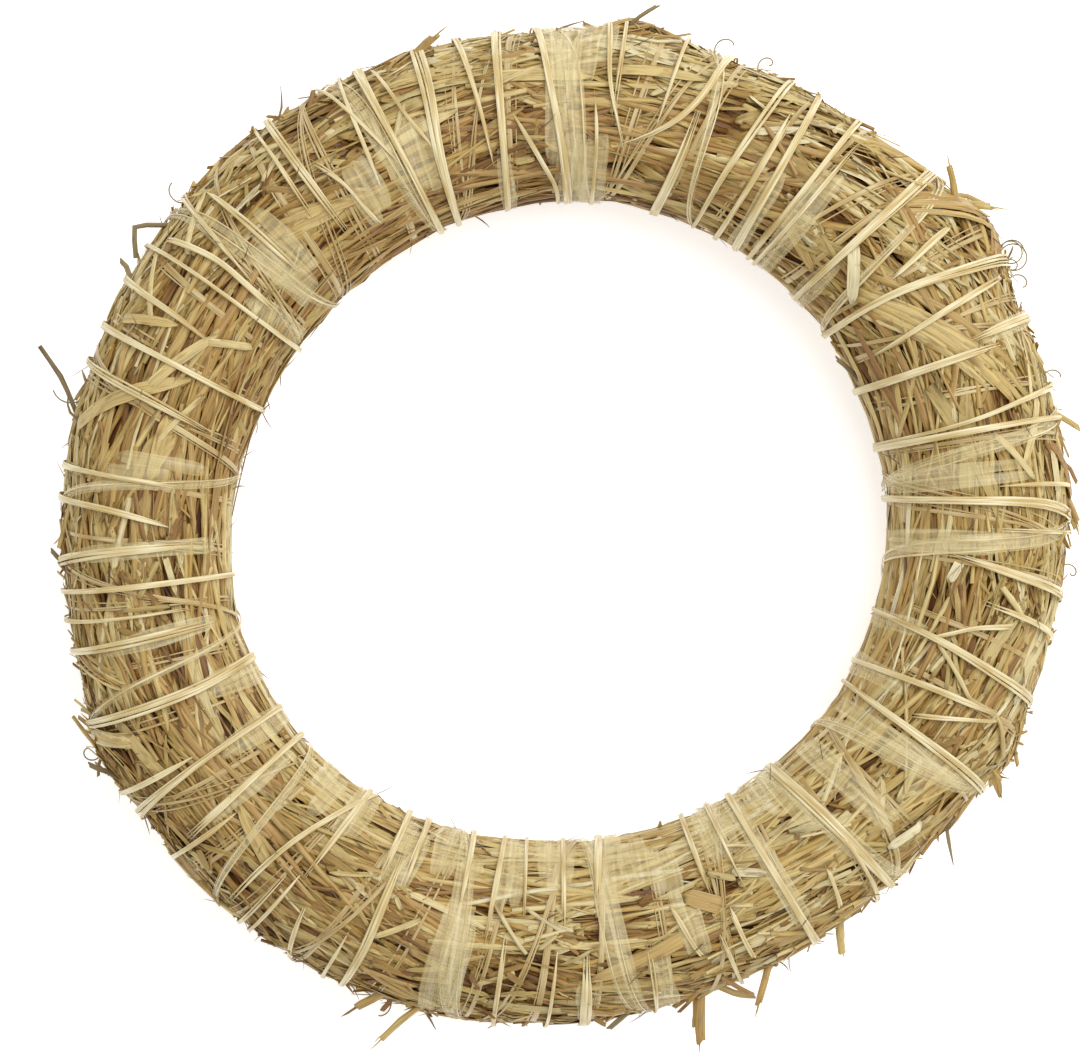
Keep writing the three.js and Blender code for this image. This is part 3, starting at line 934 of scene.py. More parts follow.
def film_piece():
    """The film: two thin, wrinkled strips side by side whose edges lap."""
    along, around, turn = winding(film_route, WIDE_TURNS, FILM_STEPS)
    width = GATHERED * film_width(around, turn)
    parts = []
    for strip, place in enumerate((-0.22, 0.22)):
        place = place + 0.04 * drift(turn * 3 + around / 120, 3 * WIDE_TURNS, 9 * strip)
        aside = np.degrees(place * width / RING_RADIUS)
        strip_width = width * (0.52 + 0.08 * drift(turn * 2 + around / 180, 2 * WIDE_TURNS, 31 + strip))
        heights = FILM_HEIGHT + LAP * strip + 0.08 * drift(along / 1.5, 240, 5)
        parts.append(swept(along + aside, around, heights, strip_width, STRIP_PROFILE, shift=strip))
    return swept_piece("binding_film_band", parts, FILM)


def film_creases():
    """Creases that the film is gathered into like threads: one near an edge, and one between."""
    parts = []
    along, around, turn = winding(film_route, WIDE_TURNS, FILM_STEPS)
    half = GATHERED * film_width(around, turn) / 2
    for crease, place in enumerate((-0.75, 0.45)):
        wander = 0.9 * drift(turn * 5 + around / 72, 5 * WIDE_TURNS, 13 * crease)
        offset = np.degrees((place * half + wander) / RING_RADIUS)
        width = 0.4 + 0.3 * drift(along / 4, 90, 5 * crease)
        height = np.full(len(along), CREASE_HEIGHT)
        parts.append(swept(along + offset, around, height, width, FILAMENT_PROFILE))
    return swept_piece("binding_film_creases", parts, THREAD)


# Turns of thread over the rest: the width, and the places that each passes, as along and around.
OVERLAID_THREADS = (
    (1.4, (119.8, 10), (117, 62), (114, 104)), (1.2, (116.3, 5), (117.2, 82), (117.8, 108)),
    (3.0, (114.1, 5), (114, 60), (113, 110), (112, 165)), (1.1, (113, 20), (110.6, 78), (109, 98)),
    (3.3, (106.8, 0), (106.7, 75), (108.2, 104), (108.6, 165)), (1.5, (102.3, 10), (101, 80), (100.4, 130)),
    (2.9, (97.3, 0), (98, 83), (99.4, 175)), (1.2, (97.2, 88), (94.4, 113), (90.4, 150)),
    (3.0, (93, 5), (91.4, 82), (89.6, 113), (88.4, 165)), (1.0, (85.6, 78), (84.6, 113), (84.4, 165)),
    (1.3, (84.4, 5), (83.8, 75), (80.6, 116)), (1.3, (82.4, 0), (82.6, 86)), (1.2, (75, 10), (76.4, 92)),
    (2.7, (69.4, 0), (71.4, 72), (74.8, 100), (81, 116)), (3.0, (71.6, 80), (71.8, 108), (73.2, 165)),
    (1.8, (62, 0), (63.6, 76), (65.2, 116), (66, 170)), (2.0, (60.5, 45), (60.8, 110), (61.6, 170)),
    (2.6, (59, 0), (58.6, 60), (57.6, 165)), (1.6, (53.4, 5), (54, 105), (54.8, 170)),
    (1.4, (51.8, 40), (52.4, 100), (53.4, 170)), (3.0, (43.4, 0), (43.6, 72), (43.8, 108), (44, 165)),
    (1.7, (37.6, 45), (36.8, 94)), (3.0, (30.2, 0), (32, 58), (34, 88), (35.4, 112), (35.6, 170)),
    (1.7, (29.6, 20), (29, 88), (28.4, 140)), (2.6, (22.2, 50), (23, 103), (24.4, 170)),
    (2.4, (24, 0), (24.2, 75)), (1.8, (16, 0), (15.2, 65), (14, 90), (14.4, 170)),
    (2.0, (12, 0), (12.8, 90), (13.6, 170)), (1.2, (4.4, 0), (5, 75)),
    (3.0, (0.4, 0), (2.8, 55), (3.4, 105), (4.8, 170)), (1.8, (176.4, 0), (178, 75), (180, 110)),
    (1.8, (172.8, 0), (174, 86), (174.4, 120)), (2.3, (160.4, 0), (162.8, 83), (165.2, 130)),
    (1.7, (156, 0), (157.2, 83), (158.8, 150)), (1.9, (150, 0), (151.4, 80), (152.6, 108)),
    (1.5, (146, 0), (145.4, 80), (146, 150)), (1.8, (144.4, 30), (142.2, 82), (143, 125)),
    (1.6, (138.4, 0), (140, 68), (141.8, 104)), (1.9, (136.8, 30), (136, 80), (135.8, 120)),
    (1.4, (127.6, 0), (128, 65), (128.8, 110)), (2.3, (126, 0), (126.2, 80), (126, 118)),
    (1.6, (124.6, 72), (122.4, 98), (121, 130)), (1.4, (238.6, 0), (236.2, 68)),
    (1.2, (232.4, 0), (233.2, 80)), (1.3, (230.8, 0), (231.8, 78)),
    (1.6, (228.6, 20), (228.8, 75), (229.6, 103), (232.4, 135), (236, 175)), (1.6, (234, 80), (234.4, 165)),
    (1.2, (220.4, 0), (221.4, 80)), (2.4, (220, 40), (219.6, 90), (219, 150)),
    (3.0, (214.6, 0), (213.4, 90), (213, 150)), (1.2, (211.2, 0), (212.2, 84)),
    (3.0, (202.6, 10), (204, 84), (204.4, 120), (203, 165)), (2.6, (194.4, 10), (195.4, 90), (195.6, 140)),
    (1.5, (190.4, 0), (192, 70), (192.8, 130)), (1.8, (187.4, 5), (188.2, 84), (188.6, 165)),
    (2.8, (184.2, 10), (183.4, 74), (183, 130)), (1.3, (281, 0), (281.8, 76)),
    (2.8, (272.6, 0), (273.4, 74)), (1.2, (268.2, 0), (269.4, 76)), (1.8, (262.4, 0), (262.4, 90)),
    (2.2, (244.4, 0), (245.2, 68), (244.4, 130)), (1.2, (242.2, 0), (242.4, 60)),
    (2.6, (275.4, 105), (276, 130), (277, 170)), (1.6, (270.4, 95), (270.6, 165)),
    (1.4, (264.8, 100), (264, 160)), (1.6, (259.6, 90), (260, 160)), (1.8, (255.4, 100), (254.4, 165)),
    (2.4, (246.4, 104), (246, 165)), (2.4, (243.2, 104), (242.4, 165)),
    (2.5, (351.6, 0), (353.6, 68), (355.4, 104)), (1.9, (346.4, 0), (348.4, 48), (349.4, 78)),
    (1.7, (347.8, 58), (346, 90), (343.6, 110)), (2.5, (338.8, 0), (341.2, 74), (343.2, 104), (345.2, 170)),
    (1.8, (336.6, 40), (334.4, 72), (331.8, 102)), (1.8, (336.4, 40), (336.4, 98), (335.4, 165)),
    (2.3, (327.6, 0), (329.6, 98), (331.4, 170)), (1.7, (310, 0), (311.8, 68), (312.6, 100)),
    (3.4, (312.8, 0), (312.4, 98), (310.8, 170)), (2.8, (301.6, 0), (301.6, 98), (302, 170)),
    (1.4, (306, 40), (307.6, 70)), (1.4, (291.8, 0), (291.4, 70)), (1.6, (294.2, 40), (293.8, 80)),
    (1.8, (292.2, 100), (292.6, 165)), (1.6, (296.8, 90), (297.6, 165)), (1.5, (288.4, 60), (286.4, 96)),
    (1.4, (359.2, 0), (359.4, 80)),
)
TAIL = 9.0  # degrees round the section that a thread goes on for while it thins out
# A thread that is given from the outer edge comes up from below it, and one to the inner edge goes on
# down there: the places round the section.
OUTER_EDGE, BELOW_OUTER = 10, -40
INNER_EDGE, BELOW_INNER = 150, 215
STRAND = 0.8  # width of one strand: a wider thread is several, side by side
DIVE = 2.4  # how deep a strand's ends go between the straws
STRAND_PROFILE = [(1, 0), (0.45, 0.2), (-0.45, 0.2), (-1, 0), (0, -0.08)]


def overlaid_threads():
    """Turns of thread that cross the top, of strands that lie side by side and are lost between the
    straws at their ends."""
    rng = np.random.default_rng(67)
    parts = []
    t = np.linspace(0, 1, 24)
    for width, *places in OVERLAID_THREADS:
        places = np.array(places, dtype=float)
        if places[0, 1] <= OUTER_EDGE:
            places = np.vstack([[places[0, 0], BELOW_OUTER], places])
        if places[-1, 1] >= INNER_EDGE:
            places = np.vstack([places, [places[-1, 0], BELOW_INNER]])
        slope = (places[-1] - places[-2]) / np.abs(places[-1, 1] - places[-2, 1])
        places[-1] = places[-1] + TAIL * slope
        share = (places[:, 1] - places[0, 1]) / (places[-1, 1] - places[0, 1])
        around = places[0, 1] + (places[-1, 1] - places[0, 1]) * t
        along = np.interp(t, share, places[:, 0])
        for _ in range(3):
            along[1:-1] = (along[:-2] + along[1:-1] + along[2:]) / 3
        strands = max(1, round(width / STRAND))
        gathered = 0.8 + 0.3 * np.sin(t * rng.uniform(3, 7) + rng.uniform(0, 6))
        base = OVERLAID_HEIGHT + rng.uniform(0, 0.25)
        for strand in range(strands):
            early = rng.uniform(0, 0.07) if strands > 1 else 0.0
            ending = smooth((np.minimum(t, 1 - t) - early) / 0.2)
            wander = np.sin(t * rng.uniform(4, 9) + rng.uniform(0, 6))
            place = (strand + 0.5) / strands - 0.5
            aside = np.degrees((place * width * gathered + 0.16 * wander) / RING_RADIUS)
            height = base + LAP * (strand % 2) + 0.06 * wander - DIVE * (1 - ending) ** 3
            wide = width / strands * rng.uniform(0.85, 1.35) * (1 + 0.14 * wander) * (0.3 + 0.7 * ending)
            shift = rng.uniform(0, 9)
            parts.append(swept(along + aside, around, height, wide, STRAND_PROFILE, False, shift))
    return swept_piece("binding_overlaid_threads", parts, THREAD)


# Sheets of film over all: along, around at both ends, and the width.
FILM_SHEETS = (
    (87.6, -40, 84, 20), (86.2, 92, 215, 16), (136, 78, 150, 15), (110.5, 70, 150, 9),
    (284.4, 108, 160, 19), (282.8, 15, 82, 6), (255.6, 5, 118, 11), (255.4, 122, 150, 6),
    (244.8, 100, 160, 10), (357.6, 72, 200, 7), (7, 48, 200, 7), (318.2, 50, 190, 7), (310.6, 92, 200, 9),
    (327.4, 10, 200, 5), (301.6, 20, 200, 5), (273, 10, 70, 4.5), (220, 50, 160, 4), (195.4, 40, 160, 5),
    (183.4, 20, 150, 5), (24, -30, 80, 4), (52, 60, 200, 7), (43.6, 100, 200, 5), (58, 80, 200, 5),
    (172, 60, 130, 8), (205, 110, 200, 9), (91, 20, 160, 5), (99, 100, 200, 4), (235, 112, 200, 9),
    (214, 100, 200, 6), (297, 116, 195, 12), (278, 116, 195, 10), (269, 118, 195, 13), (262, 112, 195, 9),
    (251, 122, 195, 9), (228, 124, 195, 10), (307, 126, 195, 12), (120, 84, 130, 10), (144, 100, 190, 6),
    (288, 60, 120, 8), (335, 110, 200, 6), (344, 110, 200, 5),
)
SHEET_STRIP = 4.5  # width of a strip of a sheet
SHEET_DIVE = 3.0


def film_sheets():
    """Sheets of the film where it lies open, of strips whose edges lap and whose ends run out between
    the straws."""
    rng = np.random.default_rng(83)
    parts = []
    t = np.linspace(0, 1, 30)
    for at, start, end, width in FILM_SHEETS:
        strips = max(1, round(width / SHEET_STRIP))
        for strip in range(strips):
            place = (strip + 0.5) / strips - 0.5
            around = start + rng.uniform(-8, 8) + (end - start + rng.uniform(-14, 14)) * t
            bunched = 0.8 + 0.2 * np.sin(math.pi * t)
            wander = 0.3 * np.sin(4 * t + rng.uniform(0, 6))
            along = at + np.degrees((width * place * bunched + wander) / RING_RADIUS)
            ending = smooth(np.minimum(t, 1 - t) / 0.22)
            height = SHEET_HEIGHT + LAP * (strip % 2) + 0.08 * np.sin(19 * t + rng.uniform(0, 6))
            height = height - SHEET_DIVE * (1 - ending)
            wide = width / strips * bunched * rng.uniform(1.0, 1.25) * (0.3 + 0.7 * ending)
            wide = wide * (1 + 0.1 * np.sin(t * rng.uniform(9, 16) + rng.uniform(0, 6)))
            parts.append(swept(along, around, height, wide, STRIP_PROFILE, False, rng.uniform(0, 9)))
    return swept_piece("binding_film_sheets", parts, FILM)


# ---------------------------------------------------------------- stalks that stick out

# Where each stalk starts, as in the part, and its legs of length, heading and rise. Heading 0 runs
# anticlockwise along the ring and 90 up round the section, and rise is away from the bundle. A stalk
# may spring up a few degrees more than the part's.
STALK_BURIED = 8.0
STALK_DEPTH = 1.0
LOOSE_STALKS = {
    "long_stalk_left": ("whole", 170, 12, 1.7, ((13, 176, 34), (12, 178, 47))),
    "bent_stalk_left": ("whole", 138, 15, 1.8, ((11, 10, 52), (10, 0, -42))),
    "hooked_stalk_left": ("hair", 165, 20, 1.2, ((5, 180, 60), (5, 170, 10))),
    "stalk_upper_left": ("split", 147, 20, 1.8, ((6, 150, 40), (3, 120, 60))),
    "stalk_end_upper_left": ("split", 107, 25, 3.0, ((7, 170, 28), (4, 175, 20))),
    "hair_upper_left": ("hair", 125, 20, 1.0, ((6, 190, 40), (6, 150, 55))),
    "hair_top": ("hair", 92, 15, 1.0, ((7, 185, 24), (6, 180, 14))),
    "stalk_top": ("split", 79, 12, 1.4, ((7, 185, 48), (6, 190, 36))),
    "stalk_end_upper_right": ("whole", 39, 25, 2.2, ((8, 4, 30), (4, 0, 24))),
    "stalk_right_corner": ("split", 35, 10, 2.6, ((6, 200, 45), (3, 190, 40))),
    "hair_right_corner": ("hair", 29, 5, 1.0, ((7, 20, 55), (6, 80, 10))),
    "stalk_right": ("split", 13, 10, 2.0, ((7, 150, 42), (4, 160, 40))),
    "stalk_end_right": ("whole", 5, 0, 2.4, ((7, 190, 24), (4, 184, 16))),
    "stalk_right_low": ("split", 0, -8, 2.0, ((8, 180, 26), (5, 175, 16))),
    "spike_lower_right": ("blade", 334, 10, 3.2, ((6, 160, 42), (3, 165, 40))),
    "hanging_stalk_lower_right": ("hair", 322, 12, 1.6, ((7, 185, 46), (6, 178, 50))),
    "stub_lower_right": ("whole", 306, 8, 2.8, ((6, 150, 50), (5, 140, 55))),
    "split_stalk_bottom": ("split", 288, 12, 3.4, ((8, 178, 72), (8, 168, 74))),
    "forked_stalk_bottom": ("split", 294, 16, 2.4, ((8, 178, 50), (6, 172, 46))),
    "stub_bottom": ("split", 279, 12, 1.8, ((6, 200, 32), (4, 205, 28))),
    "stalk_bottom_left": ("whole", 249, 15, 2.2, ((8, 190, 52), (8, 185, 60))),
    "hair_bottom_left": ("hair", 253, 10, 1.2, ((5, 10, 40), (4, 30, 40))),
    "stalk_left_low": ("split", 209, 15, 1.8, ((6, 190, 42), (4, 200, 34))),
    "stub_left": ("split", 185, 10, 1.6, ((5, 165, 38), (3, 150, 30))),
    "stalk_inner_left": ("hair", 160, 172, 1.2, ((6, 180, 24), (4, 180, 30))),
    "stalk_inner_right": ("split", 25, 170, 1.6, ((8, 10, 22), (4, 5, 28))),
}


def leg_direction(along, around, heading, rise):
    """The direction that a leg runs in, from its place on the bundle."""
    out = outwards(along, around)
    forward = anticlockwise(along)
    up_round = -np.cross(out, forward)
    heading, rise = np.radians(heading), np.radians(rise)
    level = forward * np.cos(rise) * np.cos(heading) + up_round * np.cos(rise) * np.sin(heading)
    return level + out * np.sin(rise)


def through(points):
    """Places spread evenly along a line of legs, with its corners rounded off."""
    points = np.array(points)
    lengths = np.concatenate([[0], np.cumsum(np.linalg.norm(np.diff(points, axis=0), axis=1))])
    places = np.linspace(0, lengths[-1], 4 * LEVELS)
    line = np.stack([np.interp(places, lengths, points[:, i]) for i in range(3)], -1)
    for _ in range(3):
        line[1:-1] = (line[:-2] + 2 * line[1:-1] + line[2:]) / 4
    return line[np.linspace(0, len(line) - 1, LEVELS).round().astype(int)]


LOOSE_FLATNESS = {"whole": 0.9, "split": 0.6, "blade": 0.4, "hair": 0.8}
SHREDDED = 1.8  # a wider stalk has shreds at its tip
WEATHERED_WIDTH = 1.9  # a narrower one is weathered


def loose_stalk(name, rng):
    """A stalk that sticks out: it leaves the bundle midway between two turns, where the part's does."""
    kind, at, around, width, legs = LOOSE_STALKS[name]
    turn = math.floor(at / (360 / THREAD_TURNS) - around / 360) + around / 360
    along = float(thread_along(np.float64(turn)) + thread_along(np.float64(turn + 1))) / 2
    point = on_bundle(along, around, STRAW_RELIEF - STALK_DEPTH)
    points = [point - STALK_BURIED * leg_direction(along, around, *legs[0][1:]), point]
    for length, heading, rise in legs:
        points.append(points[-1] + length * leg_direction(along, around, heading, rise))
    straws = Straws()
    tone, shade = rng.uniform(0.35, 0.8), 0.95
    master, _ = KINDS[kind]
    straws.lay_one(master, through(points), width * 0.9, width * LOOSE_FLATNESS[kind], tone, shade)
    tip, towards = points[-1], unit(points[-1] - points[-2])
    for _ in range(2 if width > SHREDDED and kind != "hair" else 0):
        aside = unit(towards + rng.normal(0, 0.16, 3))
        start = tip - towards * rng.uniform(2, 6)
        middle = start + aside * rng.uniform(3, 5)
        end = start + (aside + towards) * rng.uniform(2, 4)
        straws.lay_one(hair, through([start, middle, end]), 0.6, 0.45, tone + 0.1, shade)
    return straws.piece(name + "_straw", WEATHERED if width < WEATHERED_WIDTH else STALK)


# Bunches of straw ends that stick out: where, how many, their lengths, heading, rise and spread.
FRAYED_TUFTS = (
    (50, 12, 10, (10, 22), 184, 8, 7), (41, 12, 10, (8, 18), 186, 10, 8),
    (36, -15, 8, (6, 14), 185, 12, 10), (81, 8, 12, (5, 12), 186, 12, 11), (84, 30, 8, (8, 16), 175, 8, 10),
    (47, 35, 8, (8, 18), 172, 8, 8), (207, 8, 12, (4, 10), 170, 12, 14), (211, 30, 8, (8, 14), 188, 8, 10),
    (333, 5, 10, (4, 11), 10, 12, 14), (3, 4, 12, (5, 12), 185, 12, 12), (12, 12, 8, (6, 12), 182, 10, 12),
    (137, 14, 10, (6, 14), 176, 8, 11), (110, 20, 10, (6, 14), 170, 8, 10),
    (276, 5, 8, (4, 9), 180, 10, 14), (287, 10, 9, (4, 10), 185, 14, 18), (250, 8, 8, (4, 10), 180, 12, 14),
    (225, 8, 9, (5, 11), 0, 10, 12), (166, 10, 8, (4, 10), 0, 12, 14), (190, 5, 8, (4, 9), 180, 10, 14),
    (318, 8, 8, (4, 10), 190, 12, 14), (66, 15, 8, (5, 12), 184, 10, 12),
    (243, 172, 7, (4, 9), 182, 10, 12), (160, 172, 6, (4, 8), 180, 10, 12), (28, 170, 7, (4, 8), 5, 10, 12),
    (305, 168, 6, (4, 8), 180, 10, 12), (332.6, 4, 26, (3, 6), 20, 38, 45),
    (204.5, 6, 12, (3, 6), 170, 24, 40),
)


# The kinds of straw in a tuft: the share, the widths and how flat.
TUFT_KINDS = (
    (split, 0.4, (0.8, 2.0), 0.55), (whole, 0.25, (0.8, 1.6), 0.85), (hair, 0.35, (0.35, 0.8), 0.8),
)
ROUGH_EDGE = 520  # short ends that stand off the outer side


def either_way(rng, count):
    """Headings and rises of straw that leaves the bundle along the ring, either way round."""
    heading = np.where(rng.random(count) < 0.5, 0, 180) + rng.normal(0, 22, count)
    return heading, rng.uniform(4, 42, count)


def springing(rng, along, around, heading, rise, turned, lengths, heights, buried, bend):
    """Paths of straws that leave the bundle and bend to a direction a little off the first, and the way
    that they face. turned says how far off, and buried is the part of its length that is in the bundle."""
    count = len(along)
    first = leg_direction(along, around, heading[:, None], rise[:, None])
    second = unit(first + rng.normal(0, turned, (count, 3)))
    length = rng.uniform(*lengths, count)[:, None, None]
    start = on_bundle(along, around, rng.uniform(*heights, count))[:, None, :]
    t = np.linspace(-buried, 1, LEVELS)[None, :, None]
    bent = np.maximum(t, 0) ** 2 * bend * (second - first)[:, None, :]
    path = start + length * (t * first[:, None, :] + bent)
    return path, np.broadcast_to(outwards(along, around)[:, None, :], path.shape)


def frayed_tufts():
    """The rough outer edge, and bunches of ends that stick out where a bunch of straw stops."""
    rng = np.random.default_rng(29)
    straws = Straws()
    for master, number, flat in ((split, ROUGH_EDGE * 3 // 4, 0.5), (hair, ROUGH_EDGE // 4, 0.8)):
        along, around = rng.uniform(0, 360, number), rng.normal(8, 16, number)
        heading, rise = either_way(rng, number)
        towards = leg_direction(along, around, heading[:, None], rise[:, None])
        start = on_bundle(along, around, rng.uniform(-0.8, 0.7, number))[:, None, :]
        t = np.linspace(-0.5, 0.6, LEVELS)[None, :, None]
        path = start + rng.uniform(3, 9, number)[:, None, None] * t * towards[:, None, :]
        up = np.broadcast_to(outwards(along, around)[:, None, :], path.shape)
        width = rng.uniform(0.5, 1.7, number)
        tone, shade = rng.uniform(0.1, 0.9, number), rng.uniform(0.75, 1, number)
        straws.lay(master, path, up, width, width * flat, tone, shade, rng.normal(0, 0.6, number))
    for at, where, count, lengths, heading, rise, spread in FRAYED_TUFTS:
        for master, share, widths, flat in TUFT_KINDS:
            number = max(1, round(count * share))
            along = at + rng.normal(0, 2.4, number)
            around = where + rng.normal(0, 10, number)
            headings = heading + rng.normal(0, spread, number)
            rises = rise + rng.normal(0, spread * 0.5, number)
            path, up = springing(rng, along, around, headings, rises, 0.14, lengths, (-1.5, 0.6), 0.3, 0.5)
            width = rng.uniform(*widths, number)
            tone, shade = rng.uniform(0.25, 0.85, number), rng.uniform(0.8, 1, number)
            straws.lay(master, path, up, width, width * flat, tone, shade, rng.normal(0, 0.6, number))
    return straws.piece("straw_frayed_tufts", STALK)


# Bunches laid over the rest: how many, the kind, the widths, the tone, where they start and end as
# along and around, their height at both ends, and how far they spread along and around.
BUNCHES = (
    (17, "split", (1.2, 2.4), 0.62, (45, 66), (34.5, -4), (0.5, 1.7), (1.2, 13)),
    (9, "whole", (1.0, 2.0), 0.6, (52, 38), (43, 2), (0.5, 1.4), (1.2, 8)),
    (9, "split", (1.2, 2.4), 0.3, (36.5, -2), (30.8, 36), (1.5, 0.4), (1.0, 8)),
    (10, "split", (1.2, 2.6), 0.3, (86, 26), (79, -6), (0.5, 2.6), (0.8, 7)),
    (8, "split", (1.0, 2.2), 0.35, (81, 0), (74, 9), (1.8, 0.8), (0.8, 6)),
    (12, "split", (0.8, 2.0), 0.6, (338, 14), (331, -6), (0.5, 2.2), (1.0, 8)),
    (12, "whole", (1.0, 2.0), 0.74, (230, 6), (220.5, 1), (0.7, 1.3), (1.4, 6)),
    (4, "blade", (2.6, 5.0), 0.76, (207, 60), (203, 12), (0.9, 1.6), (0.5, 5)),
    (9, "whole", (0.7, 1.3), 0.7, (200, 62), (194.5, 18), (0.8, 1.0), (1.4, 10)),
    (8, "split", (1.0, 2.2), 0.3, (111, 22), (106.2, 0), (0.5, 1.5), (0.8, 6)),
    (7, "split", (1.2, 2.6), 0.78, (156, 6), (150, 0), (0.7, 1.3), (0.8, 6)),
    (10, "whole", (1.0, 2.0), 0.42, (139, 12), (128, 6), (0.5, 1.2), (1.2, 7)),
    (7, "split", (1.2, 2.4), 0.16, (357.5, 10), (352.5, 0), (0.5, 1.2), (0.8, 6)),
    (9, "split", (1.0, 2.2), 0.66, (348.5, 26), (341, 0), (0.6, 1.3), (1.0, 7)),
    (11, "split", (1.0, 2.2), 0.34, (9, 26), (2.6, -4), (0.4, 2.0), (0.9, 8)),
    (12, "split", (1.4, 2.8), 0.7, (36, 122), (19, 74), (0.5, 0.6), (0.8, 9)),
    (13, "split", (1.6, 3.0), 0.6, (39, 128), (15, 56), (0.9, 0.9), (0.8, 11)),
    (7, "whole", (1.0, 2.0), 0.36, (46, 60), (38, 68), (0.7, 0.7), (1.0, 8)),
    (9, "split", (1.2, 2.6), 0.85, (270, 160), (256, 158), (0.6, 0.6), (3.0, 10)),
    (9, "split", (1.2, 2.6), 0.85, (297, 158), (284, 160), (0.6, 0.6), (3.0, 10)),
    (9, "split", (1.2, 2.6), 0.8, (236, 156), (222, 158), (0.6, 0.6), (3.0, 10)),
    (8, "split", (1.0, 2.2), 0.2, (282, 2), (268, 4), (0.4, 0.8), (3.0, 8)),
    (8, "split", (1.0, 2.2), 0.2, (268, 2), (254, 4), (0.4, 0.8), (3.0, 8)),
    (7, "whole", (1.0, 1.8), 0.7, (302, 40), (296, 56), (0.6, 0.6), (0.8, 6)),
    (6, "blade", (2.4, 4.4), 0.6, (134, 100), (120, 108), (0.8, 0.8), (1.4, 10)),
    (6, "blade", (2.4, 4.4), 0.62, (175, 90), (164, 104), (0.8, 0.8), (1.4, 9)),
    (7, "split", (1.0, 2.0), 0.3, (253, 40), (246, 52), (0.6, 0.6), (1.0, 12)),
)
# Single straws laid over the rest: the kind, the width, the tone, where it starts and ends, the height.
LAID_STRAWS = (
    ("blade", 4.4, 0.66, (170, 16), (158.5, 104), 1.3), ("blade", 3.2, 0.74, (162.5, 78), (151, 106), 1.5),
    ("split", 1.8, 0.8, (154, 66), (145.5, 36), 1.3), ("blade", 3.0, 0.64, (155, 36), (152.4, 82), 1.3),
    ("split", 2.4, 0.8, (152.8, 100), (150, 130), 1.4), ("blade", 3.8, 0.98, (43.6, 104), (37.2, 130), 1.9),
    ("whole", 1.9, 0.84, (348.2, 56), (352, 78), 1.5), ("whole", 1.5, 0.86, (342.6, 108), (337, 76), 1.5),
    ("whole", 1.6, 0.7, (336.4, 50), (332.4, 28), 1.5), ("blade", 3.4, 1.0, (320.6, 51), (315.4, 59), 1.8),
    ("whole", 1.3, 0.9, (265.4, 84), (260.2, 113), 1.6), ("blade", 4.6, 0.5, (288.4, 82), (273.6, 64), 1.0),
    ("blade", 5.2, 0.42, (293.2, 90), (288.4, 106), 1.5), ("blade", 3.0, 1.0, (355, 106), (351.6, 112), 0.6),
    ("split", 2.2, 0.86, (144, 60), (136.6, 36), 1.2), ("split", 1.8, 0.8, (250.4, 94), (245.4, 74), 1.3),
    ("blade", 4.0, 0.74, (100, 66), (86, 70), 0.9), ("blade", 3.6, 0.7, (84, 64), (72, 56), 0.9),
    ("blade", 3.4, 0.72, (22, 10), (19.6, 14), 1.6), ("split", 1.6, 0.84, (170, 92), (160, 116), 1.0),
    ("blade", 2.6, 0.8, (16, 40), (7, 66), 1.0), ("split", 2.0, 0.85, (12, 82), (5.5, 58), 1.2),
    ("blade", 3.6, 0.62, (230, 78), (221, 94), 1.0), ("blade", 4.2, 0.66, (213, 64), (204, 52), 1.0),
    ("whole", 1.6, 0.3, (64, 70), (56, 92), 1.0), ("split", 1.8, 0.85, (129.6, 44), (126, 52), 1.4),
    ("blade", 3.0, 0.78, (224, 148), (206, 140), 0.9), ("blade", 3.4, 0.5, (55, 120), (45, 138), 0.8),
    ("whole", 1.4, 0.1, (182, 96), (175.6, 88), 1.5), ("blade", 3.0, 0.8, (118, 96), (104, 84), 0.9),
)


TUCKED = 1.2  # how deep such a straw starts


def between(start, end, height):
    """Paths over the bundle from the starts to the ends, given as (straws, 2) of along and around."""
    t = np.linspace(0, 1, LEVELS)[None, :]
    along = start[:, :1] + (end - start)[:, :1] * t
    around = start[:, 1:] + (end - start)[:, 1:] * t
    lift = height[:, :1] + (height[:, 1:] - height[:, :1]) * t - TUCKED * (1 - smooth(t / 0.12))
    return on_bundle(along, around, lift), outwards(along, around)


# Shreds that stand off the outer edge: the kind, the width, the tone, and the places that each passes,
# as along, around and height.
SHREDS = (
    ("split", 2.0, 0.62, (288.2, 16, -1.5), (290.6, 11, 4.2), (292.6, 9, 7.2)),
    ("split", 1.5, 0.2, (289.6, 34, 0.2), (291.2, 22, 3.8), (292.5, 12, 7.0)),
    ("split", 1.1, 0.1, (286.8, 8, -1.0), (285.2, 5, 1.8), (283.6, 4, 4.0)),
    ("split", 2.2, 0.5, (286.3, 10, -1.0), (285.6, 8, 6.0), (285.0, 6, 9.5)),
    ("split", 1.6, 0.15, (250.6, 10, -1.5), (250.3, 6, 1.6), (249.8, 5, 4.8)),
    ("split", 2.6, 0.45, (249.4, 22, -0.5), (248.3, 12, 2.4), (247.0, 8, 6.2)),
    ("hair", 1.0, 0.2, (247.4, 8, 4.6), (246.6, 6, 8.0), (246.0, 4, 10.5)),
    ("split", 1.2, 0.4, (204.0, 10, -1.0), (203.0, 6, 1.6), (201.6, 4, 4.4)),
    ("split", 1.0, 0.2, (206.4, 8, -1.0), (207.2, 4, 2.0), (208.6, 2, 4.6)),
    ("split", 1.3, 0.5, (334.8, 8, -1.0), (333.6, 4, 2.2), (332.2, 4, 5.2)),
    ("hair", 0.9, 0.3, (331.4, 8, -1.0), (330.2, 4, 2.6), (330.6, 2, 5.4)),
    ("split", 1.4, 0.6, (40.6, 10, -1.0), (39.0, 6, 2.2), (37.0, 4, 4.0)),
    ("split", 1.2, 0.25, (7.8, 8, -1.0), (6.4, 4, 2.6), (4.6, 3, 4.4)),
)


